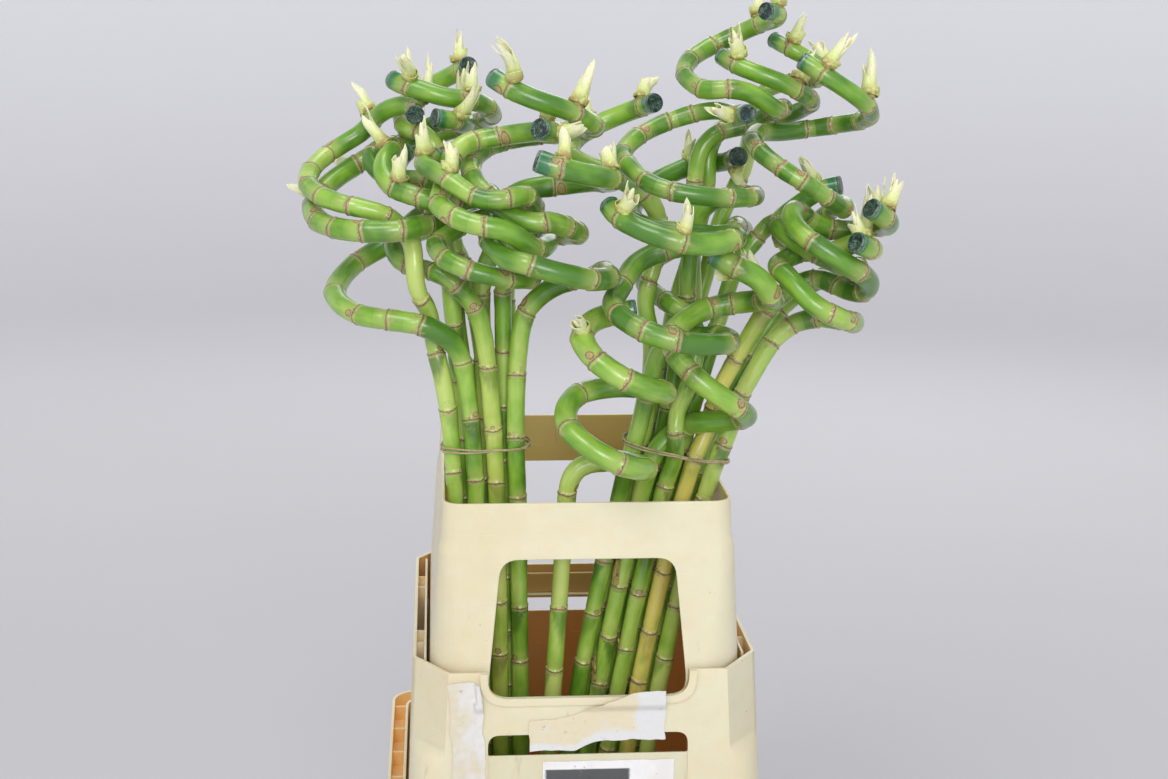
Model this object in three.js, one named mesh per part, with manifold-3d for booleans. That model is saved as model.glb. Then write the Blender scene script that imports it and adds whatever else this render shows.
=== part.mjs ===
// Curly lucky bamboo standing in a two-collar flower container.
// Millimetres, +Z up, the container's front towards -Y, the origin under the middle of its base.
//
// Each stalk is one grown piece: a straight stem in the water, a curl at the top, and its shoots.
// A stalk is laid out by a few values and a rule, then all stalks are eased apart so that
// none passes through another. The cut top of each stalk is sealed with a disc of wax.

import * as THREE from 'three';
import { mergeVertices } from 'three/addons/utils/BufferGeometryUtils.js';
import Module from 'manifold-3d';

const wasm = await Module();
wasm.setup();

// Clear gap between pieces that touch on the real thing
const GAP = 0.3;

// How far a cutting shape reaches past what it cuts
const CUT_MARGIN = 20;

// Container: half sizes are [across, front to back]
const WALL = 2.4;
const bucket = {
  floor: 3,
  base: [118, 148],
  seatHeight: 200,
  belowSeat: [131.5, 162],
  aboveSeat: [137.9, 168.4],
  seatWidth: 6.4,
  flangeHeight: 217,
  rimHeight: 235,
  rim: [150, 181],
  corner: 24,
  ribPitch: 50,
  ribThickness: 1.8,
  ribDrop: 3,
};
const lowerCollar = {
  bottomHeight: bucket.seatHeight + GAP,
  bottom: [134.3, 164.8],
  ledgeHeight: 317,
  ledge: [130, 160.5],
  ledgeBelow: 4,
  ledgeAbove: 6,
  ledgeRoundness: 0.15,
  rimHeight: 380,
  rim: [127, 157],
  corner: 22,
  chamfer: [26, 36.5],
  shelfHeight: 334.4,
  shelfInner: [108, 143],
  ribPlaces: [53, 80],
  ribThickness: 1.6,
  ribDrop: 4,
  upstandInner: 117.2,
  upstandOuter: 118.9,
  upstandDrop: 1,
  notchHalf: 73,
  notchBottom: 361,
  notchCorner: 15,
  lipWidth: 5,
  lipProud: 1.2,
  slotHalf: 73,
  slotBottom: 317,
  slotTop: 333,
  slotCorner: 9,
  squareCorner: 1,
  panelBottom: 256,
  panelDepth: 1.2,
  panelOverlap: 1,
  openingInset: 8,
};
const upperCollar = {
  bottomHeight: lowerCollar.shelfHeight + WALL + GAP,
  bottom: [116.5, 152],
  bottomCorner: [32, 38],
  seatTopHeight: 383,
  seatTop: [114.4, 149.8],
  seatTopCorner: [28, 34],
  waistHeight: 466,
  waist: [108.2, 142],
  stepHeight: 473,
  step: [106.4, 141],
  rimHeight: 501.5,
  rim: [105, 139.5],
  corner: 14,
  windowBottom: 355,
  windowTop: 460,
  windowHalfBottom: 73.6,
  windowHalfTop: 63,
  windowCorner: 11,
};
const WATER_LEVEL = 62;
const WATER_GAP = 0.4;
const HOLE_CLEARANCE = 0.7;
// Where a stalk's hole starts and ends, as shares of the way from its foot to its lowest ring
const HOLE_ENDS = [-0.5, 1.2];

// Blank stickers and card on the lower collar's front: left, right, bottom and top edges,
// and how deep their ground lies
const LABEL_THICKNESS = 0.5;
const labels = [
  { name: 'tall_sticker', edges: [-99, -79, 295, 373], ground: 0 },
  { name: 'wide_sticker', edges: [-43, 56, 322, 354], ground: 0 },
  { name: 'panel_card', edges: [-33, 63, 267, 312], ground: lowerCollar.panelDepth },
];

// Stalks
const STEM_RADIUS = 6.5;
const CURL_RADIUS = 7.7;
const SWELL_LENGTH = 60;
const FOOT_HEIGHT = bucket.floor + GAP;
const TIE_HEIGHT = upperCollar.rimHeight - 0.5;
const SWAY_LENGTH = 90;
const STEP = 8;
const SIDES = 6;
const NODE_BULGE = 0.55;
const NODE_WAIST = 0.3;
const WAIST_OFFSET = 2.5;
const FIRST_NODE = 15;
const INTERNODE = [40, 50];
const LOWEST_SHOWN_NODE = 345;
const ABOVE_WATER = WATER_LEVEL + 10;
const LOW_RING_PITCH = 120;
const CHORD_TOLERANCE = 1.7;
const MOST_SPANS = 3;
const WAX_THICKNESS = 2;
const WAX_SHRINK = 0.94;

// Easing apart
const CLEARANCE = 2.7;
const SELF_REACH = 55;
const EASE_ROUNDS = 160;
const SEARCH_EVERY = 20;
const SEARCH_REACH = 10;
const PUSH_GAIN = 1.5;
const SMOOTH_PASSES = 4;
const HELD_HEIGHT = 30;
const FREE_HEIGHT = 150;
const WALL_CLEARANCE = 1.1;

// Shoots
const SHOOT_RADIUS = 3;
const SHOOT_SIDES = 3;
const SHOOT_ROOT = 3;
const SHOOT_LENGTH = [17, 26];
const SHOOT_DIRECTIONS = 8;
const SHOOT_ROOM = 3;
const SHOOT_NODES = 2;
const SHOOT_BEND = 0.4;
const SHOOT_LIFT = 0.9;
const SHOOT_LEAN = 0.6;
const SHOOT_MIDDLE = 0.9;
const SHOOT_TIP = 0.25;
const UPWARD_GAIN = 0.25;
const ENOUGH_ROOM = 1 / 3;
const SEED = 4127;

// One row a stalk. foot and tie are where it stands and where it passes the container's rim.
// lean is its slope above the rim, crown how far above the rim it starts to bend over.
// heading is the way it bends to, in degrees from +X, and it then turns clockwise as it climbs:
// radius, turns and climb angle of the curl, slope of the curl's axis, length of the first bend.
const leftBundle = {
  tilt: -0.03,
  stalks: [
    {
      foot: [-78, -53], tie: [-80, -86], lean: [-0.17, 0], crown: 64, heading: 208,
      radius: 51, turns: 1.6, climb: 12, axis: [-0.22, -0.12], bend: 104,
    },
    {
      foot: [-94, -53], tie: [-95, -86], lean: [-0.18, 0], crown: 150, heading: 205,
      radius: 44, turns: 0.85, climb: 15, axis: [-0.2, -0.12], bend: 90,
    },
    {
      foot: [-63, -53], tie: [-65, -86], lean: [-0.1, 0], crown: 93, heading: 200,
      radius: 37, turns: 1.5, climb: 14, axis: [-0.1, -0.2], bend: 100,
    },
    {
      foot: [-48, -51], tie: [-50, -84], lean: [0.05, 0], crown: 92, heading: 12,
      radius: 43, turns: 1.6, climb: 15, axis: [0.02, -0.15], bend: 90,
    },
    {
      foot: [-56, -38], tie: [-57, -71], lean: [-0.04, 0], crown: 131, heading: -30,
      radius: 35, turns: 1.8, climb: 13, axis: [0.02, -0.15], bend: 34,
    },
    {
      foot: [-71, -38], tie: [-73, -71], lean: [0.02, 0], crown: 150, heading: -5,
      radius: 40, turns: 1.4, climb: 18, axis: [0.05, -0.25], bend: 42,
    },
    {
      foot: [-86, -38], tie: [-88, -71], lean: [-0.08, 0], crown: 196, heading: 190,
      radius: 35, turns: 1, climb: 12, axis: [-0.05, -0.15], bend: 42,
    },
    {
      foot: [-79, -23], tie: [-81, -57], lean: [-0.08, 0.04], crown: 176, heading: 180,
      radius: 38, turns: 1.2, climb: 18, axis: [-0.05, -0.1], bend: 42,
    },
    {
      foot: [-64, -23], tie: [-66, -57], lean: [-0.2, 0.06], crown: 228, heading: 160,
      radius: 30, turns: 0.7, climb: 17, axis: [-0.2, -0.1], bend: 42,
    },
    {
      foot: [-49, -23], tie: [-51, -57], lean: [-0.04, 0.04], crown: 150, heading: 0,
      radius: 43, turns: 1.65, climb: 16, axis: [0.12, -0.1], bend: 42,
    },
  ],
};
const singleStalk = {
  tilt: 0.06,
  stalks: [
    {
      foot: [-38, -80], tie: [-13, -106], lean: [0.06, -0.05], crown: -4, heading: 18,
      radius: 33, turns: 2.1, climb: 16, axis: [0.2, -0.15], bend: 36,
    },
  ],
};
const rightBundle = {
  tilt: 0.23,
  stalks: [
    {
      foot: [-28, -51], tie: [32, -86], lean: [0.18, 0], crown: 84, heading: 0,
      radius: 43, turns: 1.75, climb: 15, axis: [-0.05, -0.2], bend: 34,
    },
    {
      foot: [-12, -51], tie: [47, -87], lean: [0.22, 0], crown: -20, heading: 25,
      radius: 33, turns: 1.7, climb: 24, axis: [0.2, -0.1], bend: 105,
    },
    {
      foot: [4, -51], tie: [62, -86], lean: [0.18, 0], crown: 88, heading: 165,
      radius: 40, turns: 1.7, climb: 13, axis: [-0.15, -0.15], bend: 65,
    },
    {
      foot: [20, -51], tie: [77, -86], lean: [0.52, 0], crown: 106, heading: 10,
      radius: 34, turns: 1.5, climb: 11, axis: [0.35, 0], bend: 108,
    },
    {
      foot: [36, -51], tie: [91, -88], lean: [0.56, 0], crown: 85, heading: 5,
      radius: 32, turns: 1.5, climb: 15, axis: [0.2, -0.15], bend: 80,
    },
    {
      foot: [-20, -36], tie: [40, -71], lean: [0.02, 0.02], crown: 154, heading: 198,
      radius: 35, turns: 0.78, climb: 13, axis: [-0.2, -0.1], bend: 124,
    },
    {
      foot: [-4, -36], tie: [55, -71], lean: [0.11, 0.03], crown: 181, heading: -20,
      radius: 46, turns: 1.2, climb: 13, axis: [-0.1, -0.15], bend: 42,
    },
    {
      foot: [12, -36], tie: [70, -71], lean: [0.28, 0.05], crown: 162, heading: 20,
      radius: 38, turns: 1.68, climb: 17, axis: [0.25, 0], bend: 50,
    },
    {
      foot: [28, -36], tie: [86, -71], lean: [0.6, 0.05], crown: 106, heading: 0,
      radius: 28, turns: 1.15, climb: 18, axis: [0.1, -0.1], bend: 94,
    },
    {
      foot: [4, -21], tie: [63, -56], lean: [0.08, 0.08], crown: 222, heading: 30,
      radius: 35, turns: 1.5, climb: 17, axis: [-0.1, -0.1], bend: 42,
    },
    {
      foot: [-12, -21], tie: [47, -56], lean: [0.22, 0.13], crown: 234, heading: 30,
      radius: 37, turns: 0.8, climb: 16, axis: [0.1, 0], bend: 42,
    },
    {
      foot: [-4, -6], tie: [55, -41], lean: [0.3, 0.1], crown: 262, heading: 20,
      radius: 25, turns: 0.8, climb: 16, axis: [0.2, 0], bend: 50,
    },
  ],
};

// Rubber bands round the bundles: height at the bundle's middle, slope across the front
const BAND_THICKNESS = 1.4;
const BAND_WIDTH = 2.2;
const BAND_GAP = 0.8;
const BAND_SIDES = 12;
const bands = [
  { name: 'band_left', bundle: leftBundle, height: 529, slope: 0 },
  { name: 'band_right', bundle: rightBundle, height: 527, slope: -0.2 },
];

// Finishes
const finish = (color, roughness) => new THREE.MeshStandardMaterial({ color, roughness, metalness: 0 });
const materials = {
  plastic: finish(0xe6dcc0, 0.45),
  stalk: finish(0x6fa83a, 0.35),
  wax: finish(0x1f6b57, 0.4),
  water: finish(0x9fb4a4, 0.1),
  rubber: finish(0xb9a77c, 0.7),
  paper: finish(0xece8de, 0.8),
};

const part = new THREE.Group();

function addPiece(name, geometry, material) {
  const mesh = new THREE.Mesh(geometry, material);
  mesh.name = name;
  part.add(mesh);
}

// Closed surfaces from rings of points

function signedVolume(points, triangles) {
  let volume = 0;
  for (let i = 0; i < triangles.length; i += 3) {
    const [a, b, c] = [points[triangles[i]], points[triangles[i + 1]], points[triangles[i + 2]]];
    volume += a.dot(b.clone().cross(c)) / 6;
  }
  return volume;
}

function closedSurface(points, triangles) {
  if (signedVolume(points, triangles) < 0) triangles.reverse();
  const geometry = new THREE.BufferGeometry();
  geometry.setAttribute('position', new THREE.Float32BufferAttribute(points.flatMap((p) => p.toArray()), 3));
  geometry.setIndex(triangles);
  return geometry;
}

function skinRings(rings, looped) {
  const count = rings[0].length;
  const points = rings.flat();
  const triangles = [];
  const spans = looped ? rings.length : rings.length - 1;
  for (let k = 0; k < spans; k += 1) {
    const low = k * count;
    const high = ((k + 1) % rings.length) * count;
    for (let i = 0; i < count; i += 1) {
      const j = (i + 1) % count;
      triangles.push(low + i, low + j, high + j, low + i, high + j, high + i);
    }
  }
  if (!looped) {
    const top = (rings.length - 1) * count;
    for (let i = 1; i < count - 1; i += 1) {
      triangles.push(0, i + 1, i, top, top + i, top + i + 1);
    }
  }
  return closedSurface(points, triangles);
}

// Solids for cutting and joining

function toSolid(geometry) {
  const bare = geometry.clone();
  bare.deleteAttribute('normal');
  bare.deleteAttribute('uv');
  const merged = mergeVertices(bare, 1e-5);
  const triVerts = Uint32Array.from(merged.index.array);
  const vertProperties = merged.attributes.position.array;
  return new wasm.Manifold(new wasm.Mesh({ numProp: 3, vertProperties, triVerts }));
}

function toGeometry(solid) {
  const mesh = solid.getMesh();
  const geometry = new THREE.BufferGeometry();
  geometry.setAttribute('position', new THREE.BufferAttribute(mesh.vertProperties, 3));
  geometry.setIndex(new THREE.BufferAttribute(mesh.triVerts, 1));
  return geometry;
}

function box(left, right, front, back, low, high) {
  const geometry = new THREE.BoxGeometry(right - left, back - front, high - low);
  return geometry.translate((left + right) / 2, (front + back) / 2, (low + high) / 2);
}

// A level outline with its four corners rounded, or cut straight where roundness is 0
const CORNER_STEPS = 3;

function outline([halfX, halfY], [cornerX, cornerY], height, roundness = 1) {
  const ring = [];
  const signs = [[1, 1], [-1, 1], [-1, -1], [1, -1]];
  signs.forEach(([sx, sy], quarter) => {
    for (let i = 0; i <= CORNER_STEPS; i += 1) {
      const t = quarter % 2 === 0 ? i / CORNER_STEPS : 1 - i / CORNER_STEPS;
      const angle = (t * Math.PI) / 2;
      const alongX = THREE.MathUtils.lerp(1 - t, Math.cos(angle), roundness);
      const alongY = THREE.MathUtils.lerp(t, Math.sin(angle), roundness);
      const x = sx * (halfX - cornerX + cornerX * alongX);
      const y = sy * (halfY - cornerY + cornerY * alongY);
      ring.push(new THREE.Vector3(x, y, height));
    }
  });
  return ring;
}

const inset = ([x, y], by) => [x - by, y - by];
const square = (radius) => [radius, radius];

// A prism along Y with the outline of a shape drawn in X and Z
const CURVE_SEGMENTS = 4;

function prismAlongY(shape, front, back) {
  const settings = { depth: back - front, bevelEnabled: false, curveSegments: CURVE_SEGMENTS };
  const geometry = new THREE.ExtrudeGeometry(shape, settings);
  geometry.rotateX(Math.PI / 2);
  return geometry.translate(0, back, 0);
}

// A four-sided shape with rounded corners, its sides sloping between two half widths
function taperedWindow(halfBottom, halfTop, low, high, [lowRadius, highRadius]) {
  const corners = [[-halfBottom, low], [halfBottom, low], [halfTop, high], [-halfTop, high]];
  const points = corners.map(([x, z]) => new THREE.Vector2(x, z));
  const shape = new THREE.Shape();
  points.forEach((corner, i) => {
    const radius = i < 2 ? lowRadius : highRadius;
    const before = points[(i + 3) % 4].clone().sub(corner).setLength(radius).add(corner);
    const after = points[(i + 1) % 4].clone().sub(corner).setLength(radius).add(corner);
    if (i === 0) shape.moveTo(before.x, before.y);
    else shape.lineTo(before.x, before.y);
    shape.quadraticCurveTo(corner.x, corner.y, after.x, after.y);
  });
  shape.closePath();
  return shape;
}

// Bucket

function makeBucket() {
  const b = bucket;
  const corner = square(b.corner);
  const inner = square(b.corner - WALL);
  const rings = [
    outline(b.base, corner, 0),
    outline(b.belowSeat, corner, b.seatHeight - WALL),
    outline(b.aboveSeat, corner, b.seatHeight),
    outline(b.aboveSeat, corner, b.flangeHeight),
    outline(b.rim, corner, b.flangeHeight),
    outline(b.rim, corner, b.rimHeight),
    outline(inset(b.rim, WALL), inner, b.rimHeight),
    outline(inset(b.rim, WALL), inner, b.flangeHeight + WALL),
    outline(b.aboveSeat, corner, b.flangeHeight + WALL),
    outline(b.aboveSeat, corner, b.rimHeight),
    outline(inset(b.aboveSeat, WALL), inner, b.rimHeight),
    outline(inset(b.aboveSeat, WALL), inner, b.seatHeight),
    outline(inset(b.aboveSeat, WALL + b.seatWidth), inner, b.seatHeight),
    outline(inset(b.base, WALL), inner, b.floor),
  ];
  let solid = toSolid(skinRings(rings, false));
  const top = b.rimHeight - b.ribDrop;
  const low = b.flangeHeight + WALL / 2;
  const [wallX, wallY] = inset(b.aboveSeat, WALL / 2);
  const [lipX, lipY] = inset(b.rim, WALL / 2);
  const half = b.ribThickness / 2;
  const straightY = b.rim[1] - b.corner;
  for (let y = -Math.floor(straightY / b.ribPitch) * b.ribPitch; y <= straightY; y += b.ribPitch) {
    solid = solid.add(toSolid(box(wallX, lipX, y - half, y + half, low, top)));
    solid = solid.add(toSolid(box(-lipX, -wallX, y - half, y + half, low, top)));
  }
  const straightX = b.rim[0] - b.corner;
  for (let x = -Math.floor(straightX / b.ribPitch) * b.ribPitch; x <= straightX; x += b.ribPitch) {
    solid = solid.add(toSolid(box(x - half, x + half, wallY, lipY, low, top)));
    solid = solid.add(toSolid(box(x - half, x + half, -lipY, -wallY, low, top)));
  }
  return toGeometry(solid);
}

// Lower collar

// Half sizes, corner sizes, height and how round the corners are
const lowerStations = [
  [lowerCollar.bottom, square(lowerCollar.corner), lowerCollar.bottomHeight, 1],
  [lowerCollar.ledge, lowerCollar.chamfer, lowerCollar.ledgeHeight - lowerCollar.ledgeBelow, 1],
  [
    lowerCollar.ledge, lowerCollar.chamfer,
    lowerCollar.ledgeHeight + lowerCollar.ledgeAbove, lowerCollar.ledgeRoundness,
  ],
  [lowerCollar.rim, lowerCollar.chamfer, lowerCollar.rimHeight, 0],
];

// A value carried from one height to the next
function between(height, stations) {
  let i = 1;
  while (i < stations.length - 1 && stations[i][0] < height) i += 1;
  const [z0, v0] = stations[i - 1];
  const [z1, v1] = stations[i];
  return THREE.MathUtils.mapLinear(THREE.MathUtils.clamp(height, z0, z1), z0, z1, v0, v1);
}

// How far out the collar's front face stands at a height
const lowerCollarFace = (height) => between(height, lowerStations.map(([half, , z]) => [z, half[1]]));

// A thin plate that follows the front face, from a distance out to another
function facePlate([left, right, low, high], near, far) {
  const bends = lowerStations.map(([, , z]) => z).filter((z) => z > low && z < high);
  const rings = [low, ...bends, high].map((z) => [
    new THREE.Vector3(left, -lowerCollarFace(z) - near, z),
    new THREE.Vector3(left, -lowerCollarFace(z) - far, z),
    new THREE.Vector3(right, -lowerCollarFace(z) - far, z),
    new THREE.Vector3(right, -lowerCollarFace(z) - near, z),
  ]);
  return skinRings(rings, false);
}

function makeLowerCollar() {
  const c = lowerCollar;
  const outside = lowerStations.map(([half, cut, z, round]) => outline(half, cut, z, round));
  const within = lowerStations.map(([half, cut, z, round]) => {
    return outline(inset(half, WALL), inset(cut, WALL / 2), z, round);
  });
  let solid = toSolid(skinRings([...outside, ...within.reverse()], true));

  const shelfOuter = inset(c.ledge, WALL / 2);
  const shelfTop = c.shelfHeight + WALL;
  const shelf = [
    outline(shelfOuter, c.chamfer, c.shelfHeight, c.ledgeRoundness),
    outline(shelfOuter, c.chamfer, shelfTop, c.ledgeRoundness),
    outline(c.shelfInner, c.chamfer, shelfTop),
    outline(c.shelfInner, c.chamfer, c.shelfHeight),
  ];
  solid = solid.add(toSolid(skinRings(shelf, true)));

  const ribTop = c.rimHeight - c.ribDrop;
  const ribLow = c.shelfHeight + WALL / 2;
  const ribIn = (c.upstandInner + c.upstandOuter) / 2;
  const sides = lowerStations.map(([[x], , z]) => [z, x]);
  const [topOut, lowOut] = [ribTop, ribLow].map((z) => between(z, sides) - WALL / 2);
  const ribCorners = [[ribIn, ribLow], [lowOut, ribLow], [topOut, ribTop], [ribIn, ribTop]];
  const ribShapes = [1, -1].map((side) => {
    return new THREE.Shape(ribCorners.map(([x, z]) => new THREE.Vector2(side * x, z)));
  });
  const half = c.ribThickness / 2;
  const reach = c.rim[1] - c.chamfer[1];
  for (const [left, right] of [[-c.upstandOuter, -c.upstandInner], [c.upstandInner, c.upstandOuter]]) {
    solid = solid.add(toSolid(box(left, right, -reach, reach, ribLow, c.rimHeight - c.upstandDrop)));
  }
  for (const y of c.ribPlaces.flatMap((place) => [-place, place])) {
    for (const shape of ribShapes) solid = solid.add(toSolid(prismAlongY(shape, y - half, y + half)));
  }

  const lipOut = c.rim[1] + c.lipProud;
  const lipIn = c.rim[1] - WALL / 2;
  const lipHalf = c.notchHalf + c.lipWidth;
  const above = c.rimHeight + CUT_MARGIN;
  const beyond = c.bottom[1] + CUT_MARGIN;
  const corners = [c.notchCorner, c.squareCorner];
  const lipShape = taperedWindow(lipHalf, lipHalf, c.notchBottom - c.lipWidth, above, corners);
  const lipCut = box(-c.rim[0], c.rim[0], -beyond, beyond, c.rimHeight, above + CUT_MARGIN);
  for (const side of [-1, 1]) {
    const [front, back] = side < 0 ? [-lipOut, -lipIn] : [lipIn, lipOut];
    solid = solid.add(toSolid(prismAlongY(lipShape, front, back)).subtract(toSolid(lipCut)));
  }

  const panel = [-c.slotHalf, c.slotHalf, c.panelBottom, c.slotBottom + c.panelOverlap];
  solid = solid.subtract(toSolid(facePlate(panel, -c.panelDepth, c.panelDepth)));

  const notch = taperedWindow(c.notchHalf, c.notchHalf, c.notchBottom, above, corners);
  const slotCorners = [c.squareCorner, c.slotCorner];
  const slot = taperedWindow(c.slotHalf, c.slotHalf, c.slotBottom, c.slotTop, slotCorners);
  const start = c.shelfInner[1] + c.openingInset;
  for (const [front, back] of [[-beyond, -start], [start, beyond]]) {
    solid = solid.subtract(toSolid(prismAlongY(notch, front, back)));
    solid = solid.subtract(toSolid(prismAlongY(slot, front, back)));
  }
  return toGeometry(solid);
}

// Upper collar

const upperStations = [
  [upperCollar.bottom, upperCollar.bottomCorner, upperCollar.bottomHeight],
  [upperCollar.seatTop, upperCollar.seatTopCorner, upperCollar.seatTopHeight],
  [upperCollar.waist, square(upperCollar.corner), upperCollar.waistHeight],
  [upperCollar.step, square(upperCollar.corner), upperCollar.stepHeight],
  [upperCollar.rim, square(upperCollar.corner), upperCollar.rimHeight],
];

function makeUpperCollar() {
  const c = upperCollar;
  const outside = upperStations.map(([half, cut, z]) => outline(half, cut, z));
  const within = upperStations.map(([half, cut, z]) => outline(inset(half, WALL), inset(cut, WALL), z));
  let solid = toSolid(skinRings([...outside, ...within.reverse()], true));
  const corners = square(c.windowCorner);
  const window = taperedWindow(c.windowHalfBottom, c.windowHalfTop, c.windowBottom, c.windowTop, corners);
  const beyond = c.bottom[1] + CUT_MARGIN;
  solid = solid.subtract(toSolid(prismAlongY(window, -beyond, beyond)));
  return toGeometry(solid);
}

// Clear half width inside the container at a height
function halfWidthInside(height) {
  return between(height, upperStations.map(([half, , z]) => [z, half[0]])) - WALL;
}

// Repeatable random numbers between 0 and 1
function makeRandom(seed) {
  let state = seed;
  return () => {
    state = (state * 16807) % 2147483647;
    return state / 2147483647;
  };
}

// The route of one stalk's middle, a point every STEP along it
function stalkRoute(row, tilt) {
  const [footX, footY] = row.foot;
  const [tieX, tieY] = row.tie;
  const span = TIE_HEIGHT - FOOT_HEIGHT;
  const slope = [tilt, (tieY - footY) / span];
  const chord = [tieX - footX, tieY - footY];
  const spot = (height) => {
    if (height <= TIE_HEIGHT) {
      const t = (height - FOOT_HEIGHT) / span;
      const bow = t * (t - 1);
      const x = footX + chord[0] * t + (slope[0] * span - chord[0]) * bow;
      const y = footY + chord[1] * t + (slope[1] * span - chord[1]) * bow;
      return new THREE.Vector3(x, y, height);
    }
    const rise = height - TIE_HEIGHT;
    const swayed = Math.min(rise, SWAY_LENGTH) ** 2 / (2 * SWAY_LENGTH) + Math.max(0, rise - SWAY_LENGTH);
    const x = tieX + slope[0] * rise + (row.lean[0] - slope[0]) * swayed;
    const y = tieY + slope[1] * rise + (row.lean[1] - slope[1]) * swayed;
    return new THREE.Vector3(x, y, height);
  };
  const points = [];
  const crownHeight = TIE_HEIGHT + row.crown;
  const stemSteps = Math.round((crownHeight - FOOT_HEIGHT) / STEP);
  for (let i = 0; i < stemSteps; i += 1) {
    points.push(spot(FOOT_HEIGHT + ((crownHeight - FOOT_HEIGHT) * i) / stemSteps));
  }
  const crownIndex = points.length;
  const place = spot(crownHeight);
  const stemWay = place.clone().sub(spot(crownHeight - 1)).normalize();
  const up = new THREE.Vector3(row.axis[0], row.axis[1], 1).normalize();
  const east = new THREE.Vector3(1, 0, 0).addScaledVector(up, -up.x).normalize();
  const north = up.clone().cross(east);
  const climb = THREE.MathUtils.degToRad(row.climb);
  let heading = THREE.MathUtils.degToRad(row.heading);
  const length = (row.turns * 2 * Math.PI * row.radius) / Math.cos(climb) + row.bend / 2;
  const curlSteps = Math.round(length / STEP);
  for (let i = 0; i <= curlSteps; i += 1) {
    points.push(place.clone());
    const t = Math.min(1, (i * STEP) / row.bend);
    const curled = t * t * (3 - 2 * t);
    const way = up.clone().multiplyScalar(Math.sin(climb));
    way.addScaledVector(east, Math.cos(climb) * Math.cos(heading));
    way.addScaledVector(north, Math.cos(climb) * Math.sin(heading));
    way.multiplyScalar(curled).addScaledVector(stemWay, 1 - curled).normalize();
    place.addScaledVector(way, STEP);
    heading -= (curled * STEP * Math.cos(climb)) / row.radius;
  }
  return { points, crownIndex };
}

function radiusAt(route, index) {
  const swell = THREE.MathUtils.clamp(((index - route.crownIndex) * STEP) / SWELL_LENGTH, 0, 1);
  return THREE.MathUtils.lerp(STEM_RADIUS, CURL_RADIUS, swell);
}

// Push routes that come too close apart, a little at a time and smoothly along each stalk
function easeApart(routes) {
  const beads = routes.flatMap((route, stalk) => route.points.map((place, index) => {
    const give = THREE.MathUtils.clamp((place.z - HELD_HEIGHT) / FREE_HEIGHT, 0, 1);
    const radius = radiusAt(route, index);
    return { stalk, index, place, give, radius, push: new THREE.Vector3(), hits: 0 };
  }));
  let pairs = [];
  for (let round = 0; round < EASE_ROUNDS; round += 1) {
    if (round % SEARCH_EVERY === 0) pairs = closePairs(beads);
    beads.forEach((bead) => {
      bead.push.set(0, 0, 0);
      bead.hits = 0;
    });
    let touching = false;
    for (const [a, b, least] of pairs) {
      const apart = a.place.clone().sub(b.place);
      const distance = apart.length();
      if (distance < least) {
        touching = true;
        apart.multiplyScalar((0.5 * (least - distance)) / distance);
        a.push.add(apart);
        b.push.sub(apart);
        a.hits += 1;
        b.hits += 1;
      }
    }
    if (!touching) break;
    for (const bead of beads) {
      bead.push.divideScalar(Math.max(1, bead.hits));
      const limit = halfWidthInside(bead.place.z) - bead.radius - WALL_CLEARANCE;
      const over = Math.abs(bead.place.x) - limit;
      if (over > 0 && bead.place.z < TIE_HEIGHT) bead.push.x -= Math.sign(bead.place.x) * over;
    }
    let first = 0;
    for (const route of routes) {
      const own = beads.slice(first, first + route.points.length);
      smoothPushes(own);
      first += route.points.length;
    }
    for (const bead of beads) bead.place.addScaledVector(bead.push, PUSH_GAIN * bead.give);
  }
}

function closePairs(beads) {
  const pairs = [];
  for (let i = 0; i < beads.length; i += 1) {
    const a = beads[i];
    for (let j = i + 1; j < beads.length; j += 1) {
      const b = beads[j];
      const least = a.radius + b.radius + CLEARANCE;
      const sameStalk = a.stalk === b.stalk && (b.index - a.index) * STEP <= SELF_REACH;
      const near = a.place.distanceToSquared(b.place) < (least + SEARCH_REACH) ** 2;
      if (near && !sameStalk) pairs.push([a, b, least]);
    }
  }
  return pairs;
}

function smoothPushes(beads) {
  for (let pass = 0; pass < SMOOTH_PASSES; pass += 1) {
    const before = beads.map((bead) => bead.push.clone());
    beads.forEach((bead, i) => {
      const previous = before[Math.max(0, i - 1)];
      const next = before[Math.min(before.length - 1, i + 1)];
      bead.push.multiplyScalar(2).add(previous).add(next).divideScalar(4);
    });
  }
}

// A place, direction and radius at a distance along an eased route
function measureRoute(route) {
  const lengths = [0];
  for (let i = 1; i < route.points.length; i += 1) {
    lengths.push(lengths[i - 1] + route.points[i].distanceTo(route.points[i - 1]));
  }
  route.lengths = lengths;
  route.length = lengths[lengths.length - 1];
}

function stationAt(route, distance) {
  const { points, lengths } = route;
  let i = 1;
  while (i < points.length - 1 && lengths[i] < distance) i += 1;
  const t = (distance - lengths[i - 1]) / (lengths[i] - lengths[i - 1]);
  const centre = points[i - 1].clone().lerp(points[i], t);
  const behind = points[Math.max(0, i - 2)];
  const ahead = points[Math.min(points.length - 1, i + 1)];
  const way = ahead.clone().sub(behind).normalize();
  return { distance, centre, way, radius: radiusAt(route, i - 1 + t) };
}

// Joints of the stalk, counted down from its cut top
function nodeDistances(route, random) {
  const distances = [];
  let distance = route.length - FIRST_NODE;
  while (distance > STEP) {
    distances.push(distance);
    distance -= THREE.MathUtils.lerp(INTERNODE[0], INTERNODE[1], random());
  }
  return distances;
}

// How many straight spans follow the route closely enough between two distances
function spansNeeded(route, from, to) {
  for (let spans = 1; spans < MOST_SPANS; spans += 1) {
    let worst = 0;
    for (let k = 0; k < spans; k += 1) {
      const places = [k, k + 0.5, k + 1].map((t) => from + ((to - from) * t) / spans);
      const [a, middle, b] = places.map((distance) => stationAt(route, distance).centre);
      worst = Math.max(worst, middle.distanceTo(a.lerp(b, 0.5)));
    }
    if (worst < CHORD_TOLERANCE) return spans;
  }
  return MOST_SPANS;
}

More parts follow.
